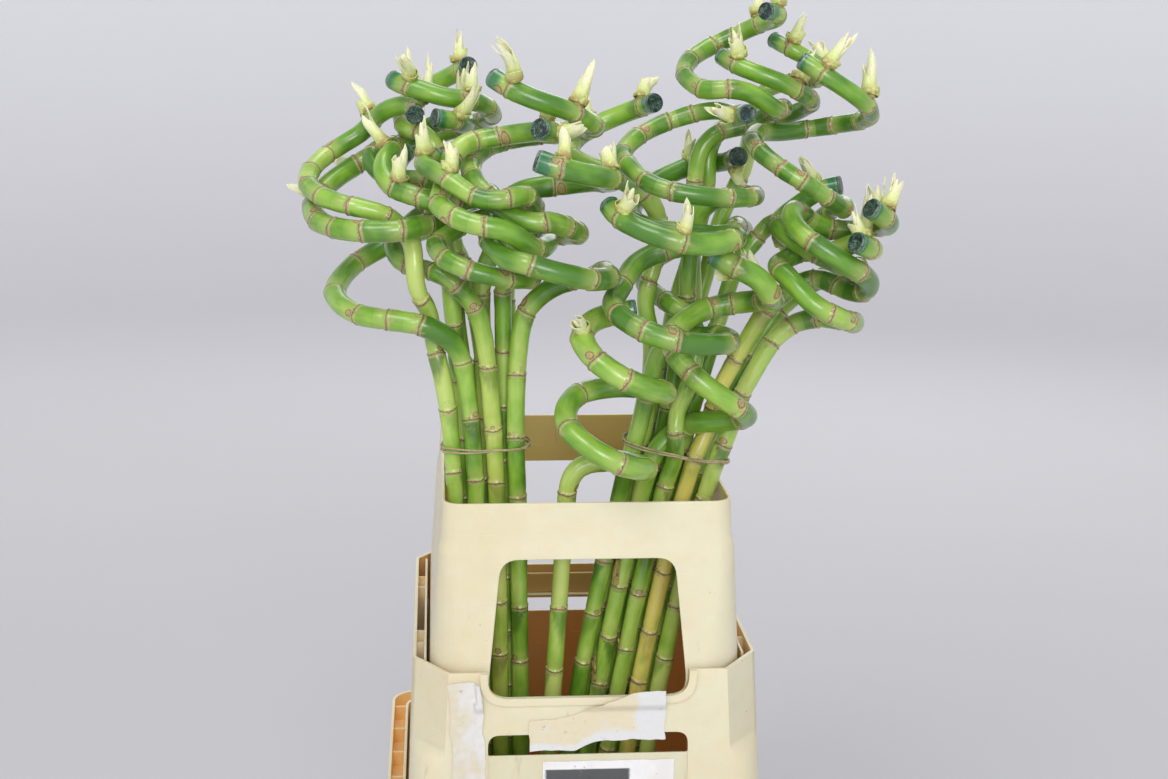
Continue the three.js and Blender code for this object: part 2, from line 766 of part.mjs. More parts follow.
// Rings along the stalk: a bulge and a waist at each joint that shows, and rings between
function stalkStations(route, nodes) {
  const shown = nodes.filter((distance) => stationAt(route, distance).centre.z > LOWEST_SHOWN_NODE).reverse();
  const stations = [];
  const add = (distance, extra) => {
    const station = stationAt(route, distance);
    station.radius += extra;
    stations.push(station);
  };
  add(0, 0);
  for (let distance = ABOVE_WATER; distance < shown[0] - LOW_RING_PITCH / 2; distance += LOW_RING_PITCH) {
    add(distance, 0);
  }
  shown.forEach((distance, i) => {
    add(distance, NODE_BULGE);
    add(distance + WAIST_OFFSET, -NODE_WAIST);
    const next = i + 1 < shown.length ? shown[i + 1] : route.length;
    const from = distance + WAIST_OFFSET;
    const spans = spansNeeded(route, from, next);
    for (let k = 1; k < spans; k += 1) add(from + ((next - from) * k) / spans, 0);
  });
  add(route.length, 0);
  stations[0].way = new THREE.Vector3(0, 0, 1);
  return stations;
}

function circleRing(centre, across, along, radius, sides) {
  const ring = [];
  for (let i = 0; i < sides; i += 1) {
    const angle = (i / sides) * 2 * Math.PI;
    const point = centre.clone().addScaledVector(across, radius * Math.cos(angle));
    ring.push(point.addScaledVector(along, radius * Math.sin(angle)));
  }
  return ring;
}

// Rings carried along a route without twist
function sweep(stations, sides) {
  let across = new THREE.Vector3(1, 0, 0);
  return stations.map(({ centre, way, radius }) => {
    across = across.clone().addScaledVector(way, -across.dot(way)).normalize();
    return circleRing(centre, across, way.clone().cross(across), radius, sides);
  });
}

// A shoot: a bent cone whose root is sunk into the joint that it grows from
function shootSpine(station, outward, length) {
  const lift = new THREE.Vector3(0, 0, 1).add(station.way.clone().multiplyScalar(SHOOT_LEAN)).normalize();
  const tip = outward.clone().add(lift.multiplyScalar(SHOOT_LIFT)).normalize();
  const root = station.centre.clone().addScaledVector(outward, station.radius - SHOOT_ROOT);
  const middle = root.clone().addScaledVector(outward, SHOOT_ROOT + length * SHOOT_BEND);
  const end = middle.clone().addScaledVector(tip, length * (1 - SHOOT_BEND));
  return [root, middle, end];
}

function shootSolid([root, middle, end]) {
  const firstWay = middle.clone().sub(root).normalize();
  const lastWay = end.clone().sub(middle).normalize();
  const midWay = firstWay.clone().add(lastWay).normalize();
  const stations = [
    { centre: root, way: firstWay, radius: SHOOT_RADIUS },
    { centre: middle, way: midWay, radius: SHOOT_RADIUS * SHOOT_MIDDLE },
    { centre: end, way: lastWay, radius: SHOOT_RADIUS * SHOOT_TIP },
  ];
  return toSolid(skinRings(sweep(stations, SHOOT_SIDES), false));
}

// Room left round a shoot by everything but the stalk stretch that it grows from
function shootRoom(spine, route, distance, routes, shoots) {
  let room = Infinity;
  const probes = [spine[1], spine[2], spine[1].clone().lerp(spine[2], 0.5)];
  for (const other of routes) {
    other.points.forEach((place, index) => {
      if (other === route && Math.abs(other.lengths[index] - distance) < SELF_REACH / 2) return;
      const radius = radiusAt(other, index);
      for (const probe of probes) room = Math.min(room, probe.distanceTo(place) - radius);
    });
  }
  for (const placed of shoots) {
    for (const probe of probes) {
      for (const place of placed) room = Math.min(room, probe.distanceTo(place) - SHOOT_RADIUS);
    }
  }
  return room - SHOOT_RADIUS;
}

function placeShoots(route, nodes, routes, shoots, random) {
  const own = [];
  for (const distance of nodes.slice(0, SHOOT_NODES)) {
    const station = stationAt(route, distance);
    const length = THREE.MathUtils.lerp(SHOOT_LENGTH[0], SHOOT_LENGTH[1], random());
    const side = new THREE.Vector3(0, 0, 1).cross(station.way).normalize();
    const top = station.way.clone().cross(side);
    let best = null;
    let bestScore = SHOOT_ROOM;
    for (let k = 0; k < SHOOT_DIRECTIONS; k += 1) {
      const angle = (k / SHOOT_DIRECTIONS) * 2 * Math.PI;
      const outward = side.clone().multiplyScalar(Math.cos(angle)).addScaledVector(top, Math.sin(angle));
      const spine = shootSpine(station, outward, length);
      const room = Math.min(shootRoom(spine, route, distance, routes, shoots), length * ENOUGH_ROOM);
      const score = room * (1 + outward.z * UPWARD_GAIN);
      if (score > bestScore) {
        bestScore = score;
        best = spine;
      }
    }
    if (best) {
      own.push(best);
      shoots.push(best);
    }
  }
  return own;
}

function waxDisc(route) {
  const end = stationAt(route, route.length);
  const radius = end.radius * WAX_SHRINK;
  const faces = [GAP, GAP + WAX_THICKNESS].map((along) => {
    return { ...end, radius, centre: end.centre.clone().addScaledVector(end.way, along) };
  });
  return skinRings(sweep(faces, SIDES), false);
}

// The bamboo
const bundles = [leftBundle, singleStalk, rightBundle];
const routes = [];
for (const bundle of bundles) {
  bundle.routes = bundle.stalks.map((row) => stalkRoute(row, bundle.tilt));
  routes.push(...bundle.routes);
}
easeApart(routes);
routes.forEach(measureRoute);

const random = makeRandom(SEED);
const shoots = [];
const nodeLists = routes.map((route) => nodeDistances(route, random));
routes.forEach((route, i) => {
  const number = String(i + 1).padStart(2, '0');
  const own = placeShoots(route, nodeLists[i], routes, shoots, random);
  const stations = stalkStations(route, nodeLists[i]);
  let solid = toSolid(skinRings(sweep(stations, SIDES), false));
  for (const spine of own) solid = solid.add(shootSolid(spine));
  addPiece(`stalk_${number}`, toGeometry(solid), materials.stalk);
  addPiece(`wax_${number}`, waxDisc(route), materials.wax);
});

// Water: a slab inside the bucket with a plain hole for each stalk
function makeWater() {
  const low = bucket.floor + GAP;
  const growth = (z) => (z - bucket.floor) / (bucket.seatHeight - bucket.floor);
  const inside = (z) => [0, 1].map((k) => {
    const base = bucket.base[k] - WALL;
    const seat = bucket.aboveSeat[k] - WALL - bucket.seatWidth;
    return base + (seat - base) * growth(z) - WATER_GAP;
  });
  const corner = square(bucket.corner - WALL);
  const slab = [low, WATER_LEVEL].map((z) => outline(inside(z), corner, z));
  let solid = toSolid(skinRings(slab, false));
  for (const route of routes) {
    const foot = stationAt(route, 0).centre;
    const above = stationAt(route, ABOVE_WATER).centre;
    const way = new THREE.Vector3(0, 0, 1);
    const radius = STEM_RADIUS + HOLE_CLEARANCE;
    const ends = HOLE_ENDS.map((t) => ({ centre: foot.clone().lerp(above, t), way, radius }));
    solid = solid.subtract(toSolid(skinRings(sweep(ends, SIDES), false)));
  }
  return toGeometry(solid);
}

// Outer hull of points in a plane, counter-clockwise
function hull(points) {
  const sorted = [...points].sort((a, b) => a.x - b.x || a.y - b.y);
  const turn = (o, a, b) => (a.x - o.x) * (b.y - o.y) - (a.y - o.y) * (b.x - o.x);
  const half = (list) => {
    const chain = [];
    for (const p of list) {
      while (chain.length > 1 && turn(chain[chain.length - 2], chain[chain.length - 1], p) <= 0) chain.pop();
      chain.push(p);
    }
    return chain.slice(0, -1);
  };
  return [...half(sorted), ...half(sorted.reverse())];
}

// A band drawn tight round a bundle, following the bundle's hull at its own slope
function makeBand({ bundle, height, slope }) {
  const middle = bundle.stalks.reduce((sum, row) => sum + row.tie[0], 0) / bundle.stalks.length;
  const rise = (place, lift) => place.z - lift - slope * (place.x - middle) - height;
  const crossing = (route, lift) => {
    let i = 1;
    while (rise(route.points[i], lift) < 0) i += 1;
    const [below, above] = [route.points[i - 1], route.points[i]];
    const t = rise(below, lift) / (rise(below, lift) - rise(above, lift));
    const way = above.clone().sub(below).normalize();
    const reach = radiusAt(route, i) / (way.z - slope * way.x);
    return { place: below.clone().lerp(above, t), reach };
  };
  const centres = bundle.routes.flatMap((route) => [crossing(route, 0), crossing(route, BAND_WIDTH)]);
  const around = (extra) => hull(centres.flatMap(({ place, reach }) => {
    const ring = [];
    for (let k = 0; k < BAND_SIDES; k += 1) {
      const angle = (k / BAND_SIDES) * 2 * Math.PI;
      const radius = reach + NODE_BULGE + extra;
      const x = place.x + radius * Math.cos(angle);
      ring.push(new THREE.Vector2(x, place.y + radius * Math.sin(angle)));
    }
    return ring;
  }));
  const shape = new THREE.Shape(around(BAND_GAP + BAND_THICKNESS));
  shape.holes.push(new THREE.Path(around(BAND_GAP)));
  const geometry = new THREE.ExtrudeGeometry(shape, { depth: BAND_WIDTH, bevelEnabled: false });
  const position = geometry.attributes.position;
  for (let i = 0; i < position.count; i += 1) {
    position.setZ(i, position.getZ(i) + height + slope * (position.getX(i) - middle));
  }
  return geometry;
}

for (const band of bands) addPiece(band.name, makeBand(band), materials.rubber);

addPiece('bucket', makeBucket(), materials.plastic);
addPiece('lower_collar', makeLowerCollar(), materials.plastic);
addPiece('upper_collar', makeUpperCollar(), materials.plastic);
addPiece('water', makeWater(), materials.water);
for (const { name, edges, ground } of labels) {
  const near = GAP - ground;
  addPiece(name, facePlate(edges, near, near + LABEL_THICKNESS), materials.paper);
}

export default part;
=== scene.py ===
"""Curly lucky bamboo in a stacked flower container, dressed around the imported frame.

Sizes are in millimetres unless a name says otherwise. +Z is up and the container's front is
towards -Y. Stalks follow the same values and the same rule as the solids that they stand for.
"""

from __future__ import annotations

import logging
import math
from collections.abc import Iterator
from contextlib import contextmanager
from copy import copy
from dataclasses import dataclass
from enum import Enum

import bpy
import numpy as np
from mathutils import Matrix


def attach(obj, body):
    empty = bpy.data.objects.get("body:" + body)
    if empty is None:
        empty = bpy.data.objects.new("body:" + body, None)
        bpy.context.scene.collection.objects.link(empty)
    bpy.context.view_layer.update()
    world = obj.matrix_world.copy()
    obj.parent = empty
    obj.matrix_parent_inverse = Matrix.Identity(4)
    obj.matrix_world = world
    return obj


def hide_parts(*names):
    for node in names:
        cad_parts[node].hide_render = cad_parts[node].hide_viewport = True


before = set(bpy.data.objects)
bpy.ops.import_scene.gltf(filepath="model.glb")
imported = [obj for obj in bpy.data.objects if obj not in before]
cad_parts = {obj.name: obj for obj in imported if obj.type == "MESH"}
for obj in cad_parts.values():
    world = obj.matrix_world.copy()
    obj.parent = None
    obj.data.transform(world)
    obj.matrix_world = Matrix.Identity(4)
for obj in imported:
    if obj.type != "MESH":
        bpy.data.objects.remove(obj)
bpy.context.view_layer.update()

LOG = logging.getLogger("bamboo")
MM = 0.001
ROOT = "root"

# Container
WALL = 2.4
LABEL_GAP = 0.3

# Stalks
STEM_RADIUS = 6.5
CURL_RADIUS = 7.7
SWELL_LENGTH = 60.0
FOOT_HEIGHT = 3.3
TIE_HEIGHT = 501.0
SWAY_LENGTH = 90.0
STEP = 8.0
FIRST_NODE = 15.0
INTERNODE = (40.0, 50.0)
SEED = 4127

# Easing apart
CLEARANCE = 2.7
SELF_REACH = 55.0
EASE_ROUNDS = 160
SEARCH_EVERY = 20
SEARCH_REACH = 10.0
PUSH_GAIN = 1.5
SMOOTH_PASSES = 4
HELD_HEIGHT = 30.0
FREE_HEIGHT = 150.0
WALL_CLEARANCE = 1.1

# Shoots
SHOOT_RADIUS = 3.0
SHOOT_ROOT = 3.0
SHOOT_LENGTH = (17.0, 26.0)
SHOOT_DIRECTIONS = 8
SHOOT_ROOM = 3.0
SHOOT_NODES = 2

# Dressing: stalks that have yellowed and how much, stalks with dry scraps, and each band's strands
GOLD = {15: 0.85, 3: 0.2}
SCRAP_STALKS = (13, 14)
STRANDS = {"band_left": ("strands_left", 0.7), "band_right": ("strands_right", 0.3)}

Vec = np.ndarray
Piece = bpy.types.Object
Material = bpy.types.Material
Socket = bpy.types.NodeSocket


def unit(vector: Vec) -> Vec:
    """The vector at length one."""
    return vector / np.linalg.norm(vector)


def units(vectors: Vec) -> Vec:
    """Each row at length one."""
    return vectors / np.linalg.norm(vectors, axis=1)[:, None]


def around(first: Vec, second: Vec, angles: Vec) -> Vec:
    """Directions at angles from the first direction towards the second."""
    return first * np.cos(angles)[..., None] + second * np.sin(angles)[..., None]


def stem_grain(radius: Vec, angles: Vec, along: Vec) -> Vec:
    """Centimetres across and along a stem, for patterns that follow it."""
    parts = np.broadcast_arrays(radius * np.cos(angles), radius * np.sin(angles), along)
    return np.stack(parts, -1) / 10


def ease(value: Vec, start: float, end: float) -> Vec:
    """A smooth step from 0 at start to 1 at end."""
    t = np.clip((value - start) / (end - start), 0, 1)
    return t * t * (3 - 2 * t)


def colour(red: int, green: int, blue: int) -> tuple[float, float, float, float]:
    """Turn a screen colour into a linear one.

    Args:
        red: Red, 0 to 255.
        green: Green, 0 to 255.
        blue: Blue, 0 to 255.

    Returns:
        Linear red, green and blue with full alpha.
    """
    channels = [c / 255 for c in (red, green, blue)]
    linear = [c / 12.92 if c <= 0.04045 else ((c + 0.055) / 1.055) ** 2.4 for c in channels]
    return (linear[0], linear[1], linear[2], 1.0)


class SlotName(Enum):
    """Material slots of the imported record."""

    STALK = "stalk"
    WAX = "wax"
    PLASTIC = "plastic"
    RUBBER = "rubber"
    PAPER = "paper"


# Shaping with operators


def deselect_all() -> None:
    """Leave edit mode and deselect every object."""
    if bpy.context.mode != "OBJECT":
        bpy.ops.object.mode_set(mode="OBJECT")
    bpy.ops.object.select_all(action="DESELECT")


def make_active(piece: Piece) -> None:
    """Select one piece alone and make it the active one."""
    deselect_all()
    piece.select_set(True)
    bpy.context.view_layer.objects.active = piece


def named(name: str) -> Piece:
    """Name the object that an operator has just added, and its mesh.

    Args:
        name: The name of both.

    Returns:
        The object.
    """
    piece = bpy.context.active_object
    piece.name = name
    piece.data.name = name
    return piece


@contextmanager
def editing(piece: Piece) -> Iterator[None]:
    """Hold one piece in edit mode with all of it selected."""
    make_active(piece)
    bpy.ops.object.mode_set(mode="EDIT")
    bpy.ops.mesh.select_all(action="SELECT")
    yield
    bpy.ops.object.mode_set(mode="OBJECT")


def close_up(piece: Piece) -> None:
    """Merge a piece's doubled points and turn its faces outwards.

    Args:
        piece: The piece.
    """
    with editing(piece):
        bpy.ops.mesh.remove_doubles(threshold=1e-6)
        bpy.ops.mesh.normals_make_consistent(inside=False)


def points_of(mesh: bpy.types.Mesh) -> Vec:
    """A mesh's points, one in a row."""
    flat = np.zeros(len(mesh.vertices) * 3, np.float32)
    mesh.vertices.foreach_get("co", flat)
    return flat.reshape(-1, 3).astype(float)


def move_to(mesh: bpy.types.Mesh, points: Vec) -> None:
    """Put a mesh's points at places in millimetres."""
    mesh.vertices.foreach_set("co", (points.reshape(-1, 3) * MM).astype(np.float32).ravel())


def note(mesh: bpy.types.Mesh, label: str, values: Vec) -> None:
    """Keep a number or a vector with each point of a mesh.

    Args:
        mesh: The mesh.
        label: The attribute's name.
        values: A value or three for each point.
    """
    flat = np.asarray(values, np.float32).reshape(len(mesh.vertices), -1)
    kind, key = ("FLOAT_VECTOR", "vector") if flat.shape[1] == 3 else ("FLOAT", "value")
    mesh.attributes.new(label, kind, "POINT").data.foreach_set(key, flat.ravel())


def weave(
    name: str, rows: Vec, fields: dict[str, Vec] | None = None, closed: bool = True
) -> Piece:
    """Shape a grid to rows of points, as a net drawn over a form.

    Args:
        name: The piece's name.
        rows: Points as row, column, coordinate, in millimetres.
        fields: Point attributes, one value or vector for each point of the rows.
        closed: Whether doubled points are merged and the faces turned outwards.

    Returns:
        The new piece.
    """
    deselect_all()
    bpy.ops.mesh.primitive_grid_add(
        x_subdivisions=rows.shape[1] - 1, y_subdivisions=rows.shape[0] - 1, size=1.0
    )
    piece = named(name)
    move_to(piece.data, rows)
    for label, values in (fields or {}).items():
        note(piece.data, label, values)
    if closed:
        close_up(piece)
    return piece


def weave_leaf(name: str, rows: Vec, fields: dict[str, Vec], thickness: float) -> Piece:
    """Shape an open leaf, thicken it evenly to both sides and close it.

    Args:
        name: The piece's name.
        rows: Points as row, column, coordinate, in millimetres.
        fields: Point attributes.
        thickness: The leaf's thickness.

    Returns:
        The closed leaf.
    """
    piece = weave(name, rows, fields, closed=False)
    finish_with(piece, "SOLIDIFY", thickness=thickness * MM, offset=0.0)
    close_up(piece)
    return piece


def prism(name: str, outline: Vec, front: float, back: float) -> Piece:
    """A block along Y from an outline in X and Z.

    Args:
        name: The piece's name.
        outline: Points as X and Z, in order.
        front: The lower end in Y.
        back: The upper end in Y.

    Returns:
        The closed block.
    """
    deselect_all()
    bpy.ops.mesh.primitive_circle_add(vertices=len(outline), radius=1.0, fill_type="NGON")
    piece = named(name)
    move_to(piece.data, np.insert(outline, 1, front, axis=1))
    with editing(piece):
        bpy.ops.mesh.extrude_region_move(
            TRANSFORM_OT_translate={"value": (0.0, (back - front) * MM, 0.0)}
        )
    close_up(piece)
    return piece


def block(name: str, low: tuple[float, ...], high: tuple[float, ...]) -> Piece:
    """A plain block between two corners, to be joined to or cut from another piece.

    Args:
        name: The piece's name.
        low: The corner with the lowest values.
        high: The other corner.

    Returns:
        The block.
    """
    deselect_all()
    middle = [(a + b) / 2 * MM for a, b in zip(low, high)]
    size = [(b - a) * MM for a, b in zip(low, high)]
    bpy.ops.mesh.primitive_cube_add(size=1.0, location=middle, scale=size)
    piece = named(name)
    bpy.ops.object.transform_apply(location=True, rotation=True, scale=True)
    return piece


def finish_with(piece: Piece, kind: str, **settings: str | float | Piece) -> None:
    """Add one modifier to a piece and apply it.

    Args:
        piece: The piece.
        kind: The modifier's type.
        **settings: Its options.
    """
    make_active(piece)
    change = piece.modifiers.new(kind.lower(), kind)
    for key, value in settings.items():
        setattr(change, key, value)
    bpy.ops.object.modifier_apply(modifier=change.name)


def combine(piece: Piece, other: Piece, operation: str) -> None:
    """Join another piece to this one, or cut it away, and remove the other.

    Args:
        piece: The piece that stays.
        other: The piece that is used up.
        operation: UNION or DIFFERENCE.
    """
    finish_with(piece, "BOOLEAN", operation=operation, solver="EXACT", object=other)
    bpy.data.objects.remove(other)


def soften(piece: Piece, width: float, segments: int) -> None:
    """Round a moulded piece's edges and shade it evenly.

    Args:
        piece: The piece.
        width: How far the rounding reaches from an edge.
        segments: How many faces the rounding has.
    """
    with editing(piece):
        bpy.ops.mesh.remove_doubles(threshold=1e-5)
        bpy.ops.mesh.dissolve_limited(angle_limit=math.radians(0.2))
    finish_with(
        piece, "BEVEL", width=width * MM, segments=segments, limit_method="ANGLE",
        angle_limit=math.radians(40), use_clamp_overlap=True,
    )
    shade_smooth(piece, 35)
    finish_with(piece, "WEIGHTED_NORMAL", keep_sharp=True)


def join(name: str, pieces: list[Piece]) -> Piece:
    """Join several pieces into one.

    Args:
        name: The joined piece's name.
        pieces: What is joined.

    Returns:
        The joined piece.
    """
    deselect_all()
    for piece in pieces:
        piece.select_set(True)
    bpy.context.view_layer.objects.active = pieces[0]
    if len(pieces) > 1:
        bpy.ops.object.join()
    return named(name)


def shade_smooth(piece: Piece, degrees: float) -> None:
    """Shade a piece smooth, apart from edges sharper than an angle."""
    make_active(piece)
    bpy.ops.object.shade_smooth_by_angle(angle=math.radians(degrees))


def hand_over(piece: Piece, skin: Material, slot: SlotName, *nodes: str) -> None:
    """Dress a finished piece and tie it to the frame.

    Args:
        piece: The piece.
        skin: Its material.
        slot: The record's slot; not used.
        *nodes: The nodes that it stands for.
    """
    piece.data.materials.clear()
    piece.data.materials.append(skin)
    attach(piece, ROOT)
    if nodes:
        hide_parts(*nodes)
    LOG.info("%s: %d faces", piece.name, len(piece.data.polygons))


# Shader graphs


@dataclass(frozen=True)
class Wire:
    """One output of a node, with signs that add further nodes."""

    graph: Graph
    socket: Socket

    def __add__(self, other: Feed) -> Wire:
        """The sum."""
        return self.graph.sums("ADD", self, other)

    def __radd__(self, other: float) -> Wire:
        """The sum with a number that stands first."""
        return self.graph.sums("ADD", other, self)

    def __sub__(self, other: Feed) -> Wire:
        """The difference."""
        return self.graph.sums("SUBTRACT", self, other)

    def __mul__(self, other: Feed) -> Wire:
        """The product."""
        return self.graph.sums("MULTIPLY", self, other)

    def __abs__(self) -> Wire:
        """The value without its sign."""
        return self.graph.sums("ABSOLUTE", self)


Feed = Wire | float | tuple


class Graph:
    """A material's node tree, built up from small named steps."""

    def __init__(self, name: str) -> None:
        """Start a material with one Principled shader.

        Args:
            name: The material's name.
        """
        self.material = bpy.data.materials.new(name)
        self.material.use_nodes = True
        self.tree = self.material.node_tree
        self.tree.nodes.clear()
        self.shader = self.tree.nodes.new("ShaderNodeBsdfPrincipled")
        output = self.tree.nodes.new("ShaderNodeOutputMaterial")
        self.tree.links.new(self.shader.outputs[0], output.inputs[0])

    def feed(self, socket: Socket, value: Feed) -> None:
        """Link a socket to a node's output, or set its value.

        Args:
            socket: What is fed.
            value: What feeds it.
        """
        if isinstance(value, Wire):
            self.tree.links.new(value.socket, socket)
        else:
            socket.default_value = value

    def into(self, **inputs: Feed) -> None:
        """Feed the shader's sockets, named with underscores for spaces."""
        for key, value in inputs.items():
            self.feed(self.shader.inputs[key.replace("_", " ")], value)

    def step(
        self, kind: str, output: int | str, inputs: dict[int | str, Feed] | None = None, **settings: str
    ) -> Wire:
        """Add one node.

        Args:
            kind: The node's type, as Blender names it after ShaderNode.
            output: Which of its outputs is passed on.
            inputs: What feeds its inputs.
            **settings: Its own options, set first.

        Returns:
            The chosen output.
        """
        node = self.tree.nodes.new(f"ShaderNode{kind}")
        for key, value in settings.items():
            setattr(node, key, value)
        for key, value in (inputs or {}).items():
            self.feed(node.inputs[key], value)
        return Wire(self, node.outputs[output])

    def place(self) -> Wire:
        """Object coordinates, in metres."""
        return self.step("TexCoord", "Object")

    def facing(self) -> Wire:
        """The surface's own direction."""
        return self.step("NewGeometry", "Normal")

    def sheet_place(self) -> Wire:
        """The piece's own UV map."""
        return self.step("TexCoord", "UV")

    def value_of(self, attribute: str) -> Wire:
        """A number kept on the mesh."""
        return self.step("Attribute", "Fac", attribute_name=attribute)

    def vector_of(self, attribute: str) -> Wire:
        """A vector kept on the mesh."""
        return self.step("Attribute", "Vector", attribute_name=attribute)

    def part_of(self, vector: Wire, axis: str) -> Wire:
        """One axis of a vector, by its letter."""
        return self.step("SeparateXYZ", axis, {0: vector})

    def stretched(self, vector: Wire, scale: tuple) -> Wire:
        """A vector scaled on each axis."""
        return self.step("Mapping", 0, {"Vector": vector, "Scale": scale})

    def dot(self, a: Wire, b: Feed) -> Wire:
        """The dot product of two vectors."""
        return self.step("VectorMath", "Value", {0: a, 1: b}, operation="DOT_PRODUCT")

    def sums(self, operation: str, a: Feed, b: Feed = 0.0) -> Wire:
        """Arithmetic on two numbers, by the operation's name."""
        return self.step("Math", 0, {0: a, 1: b}, operation=operation)

    def most(self, a: Feed, b: Feed) -> Wire:
        """The greater of two numbers."""
        return self.sums("MAXIMUM", a, b)

    def fade(self, value: Feed, start: float, end: float) -> Wire:
        """A smooth step from 0 at start to 1 at end, which may lie either way round.

        Args:
            value: What is compared.
            start: Where the step begins.
            end: Where it is complete.

        Returns:
            How far the step is done.
        """
        rising = start < end
        limits = {
            "From Min": min(start, end), "From Max": max(start, end),
            "To Min": float(not rising), "To Max": float(rising),
        }
        return self.step("MapRange", "Result", {"Value": value} | limits, interpolation_type="SMOOTHSTEP")

    def near(self, value: Wire, middle: float, reach: float) -> Wire:
        """1 where a value is at the middle, falling to 0 at its reach."""
        return self.fade(abs(value - middle), reach, 0.0)

    def within(self, value: Wire, low: float, high: float, edge: float = 0.012) -> Wire:
        """1 between two values with a narrow edge, and 0 outside them."""
        return self.fade(value, low - edge, low + edge) * self.fade(value, high + edge, high - edge)

    def noise(self, vector: Wire, scale: float, detail: float = 2.0, rough: float = 0.5) -> Wire:
        """Cloudy noise around one half."""
        inputs = {"Vector": vector, "Scale": scale, "Detail": detail, "Roughness": rough}
        return self.step("TexNoise", 0, inputs)

    def streaks(self, vector: Wire, scale: tuple, detail: float, rough: float = 0.5) -> Wire:
        """Cloudy noise with its own scale on each axis."""
        return self.noise(self.stretched(vector, scale), 1.0, detail, rough)

    def spots(self, vector: Wire, scale: float, detail: float, low: float, high: float) -> Wire:
        """Noise as patches that fade in between two levels."""
        return self.fade(self.noise(vector, scale, detail), low, high)

    def cells(self, vector: Wire, scale: float, feature: str) -> Wire:
        """Distance in a pattern of cells, by the feature's name."""
        return self.step("TexVoronoi", "Distance", {"Vector": vector, "Scale": scale}, feature=feature)

    def ramp(self, factor: Feed, stops: list[tuple[float, tuple]]) -> Wire:
        """Colours spread along a factor.

        Args:
            factor: Where on the spread.
            stops: Positions and their colours, in order.

        Returns:
            The colour.
        """
        spread = self.step("ValToRGB", 0, {0: factor})
        elements = spread.socket.node.color_ramp.elements
        while len(elements) < len(stops):
            elements.new(0.5)
        for element, (position, shade) in zip(elements, stops):
            element.position = position
            element.color = shade
        return spread

    def mix(self, factor: Feed, first: Feed, second: Feed) -> Wire:
        """Blend from one colour to another."""
        return self.step("Mix", 2, {0: factor, 6: first, 7: second}, data_type="RGBA")

    def relief(self, height: Feed, depth: float, strength: float = 1.0) -> Wire:
        """A bump of a depth in millimetres."""
        inputs = {"Strength": strength, "Distance": depth * MM, "Height": height}
        return self.step("Bump", 0, inputs)


# Finishes


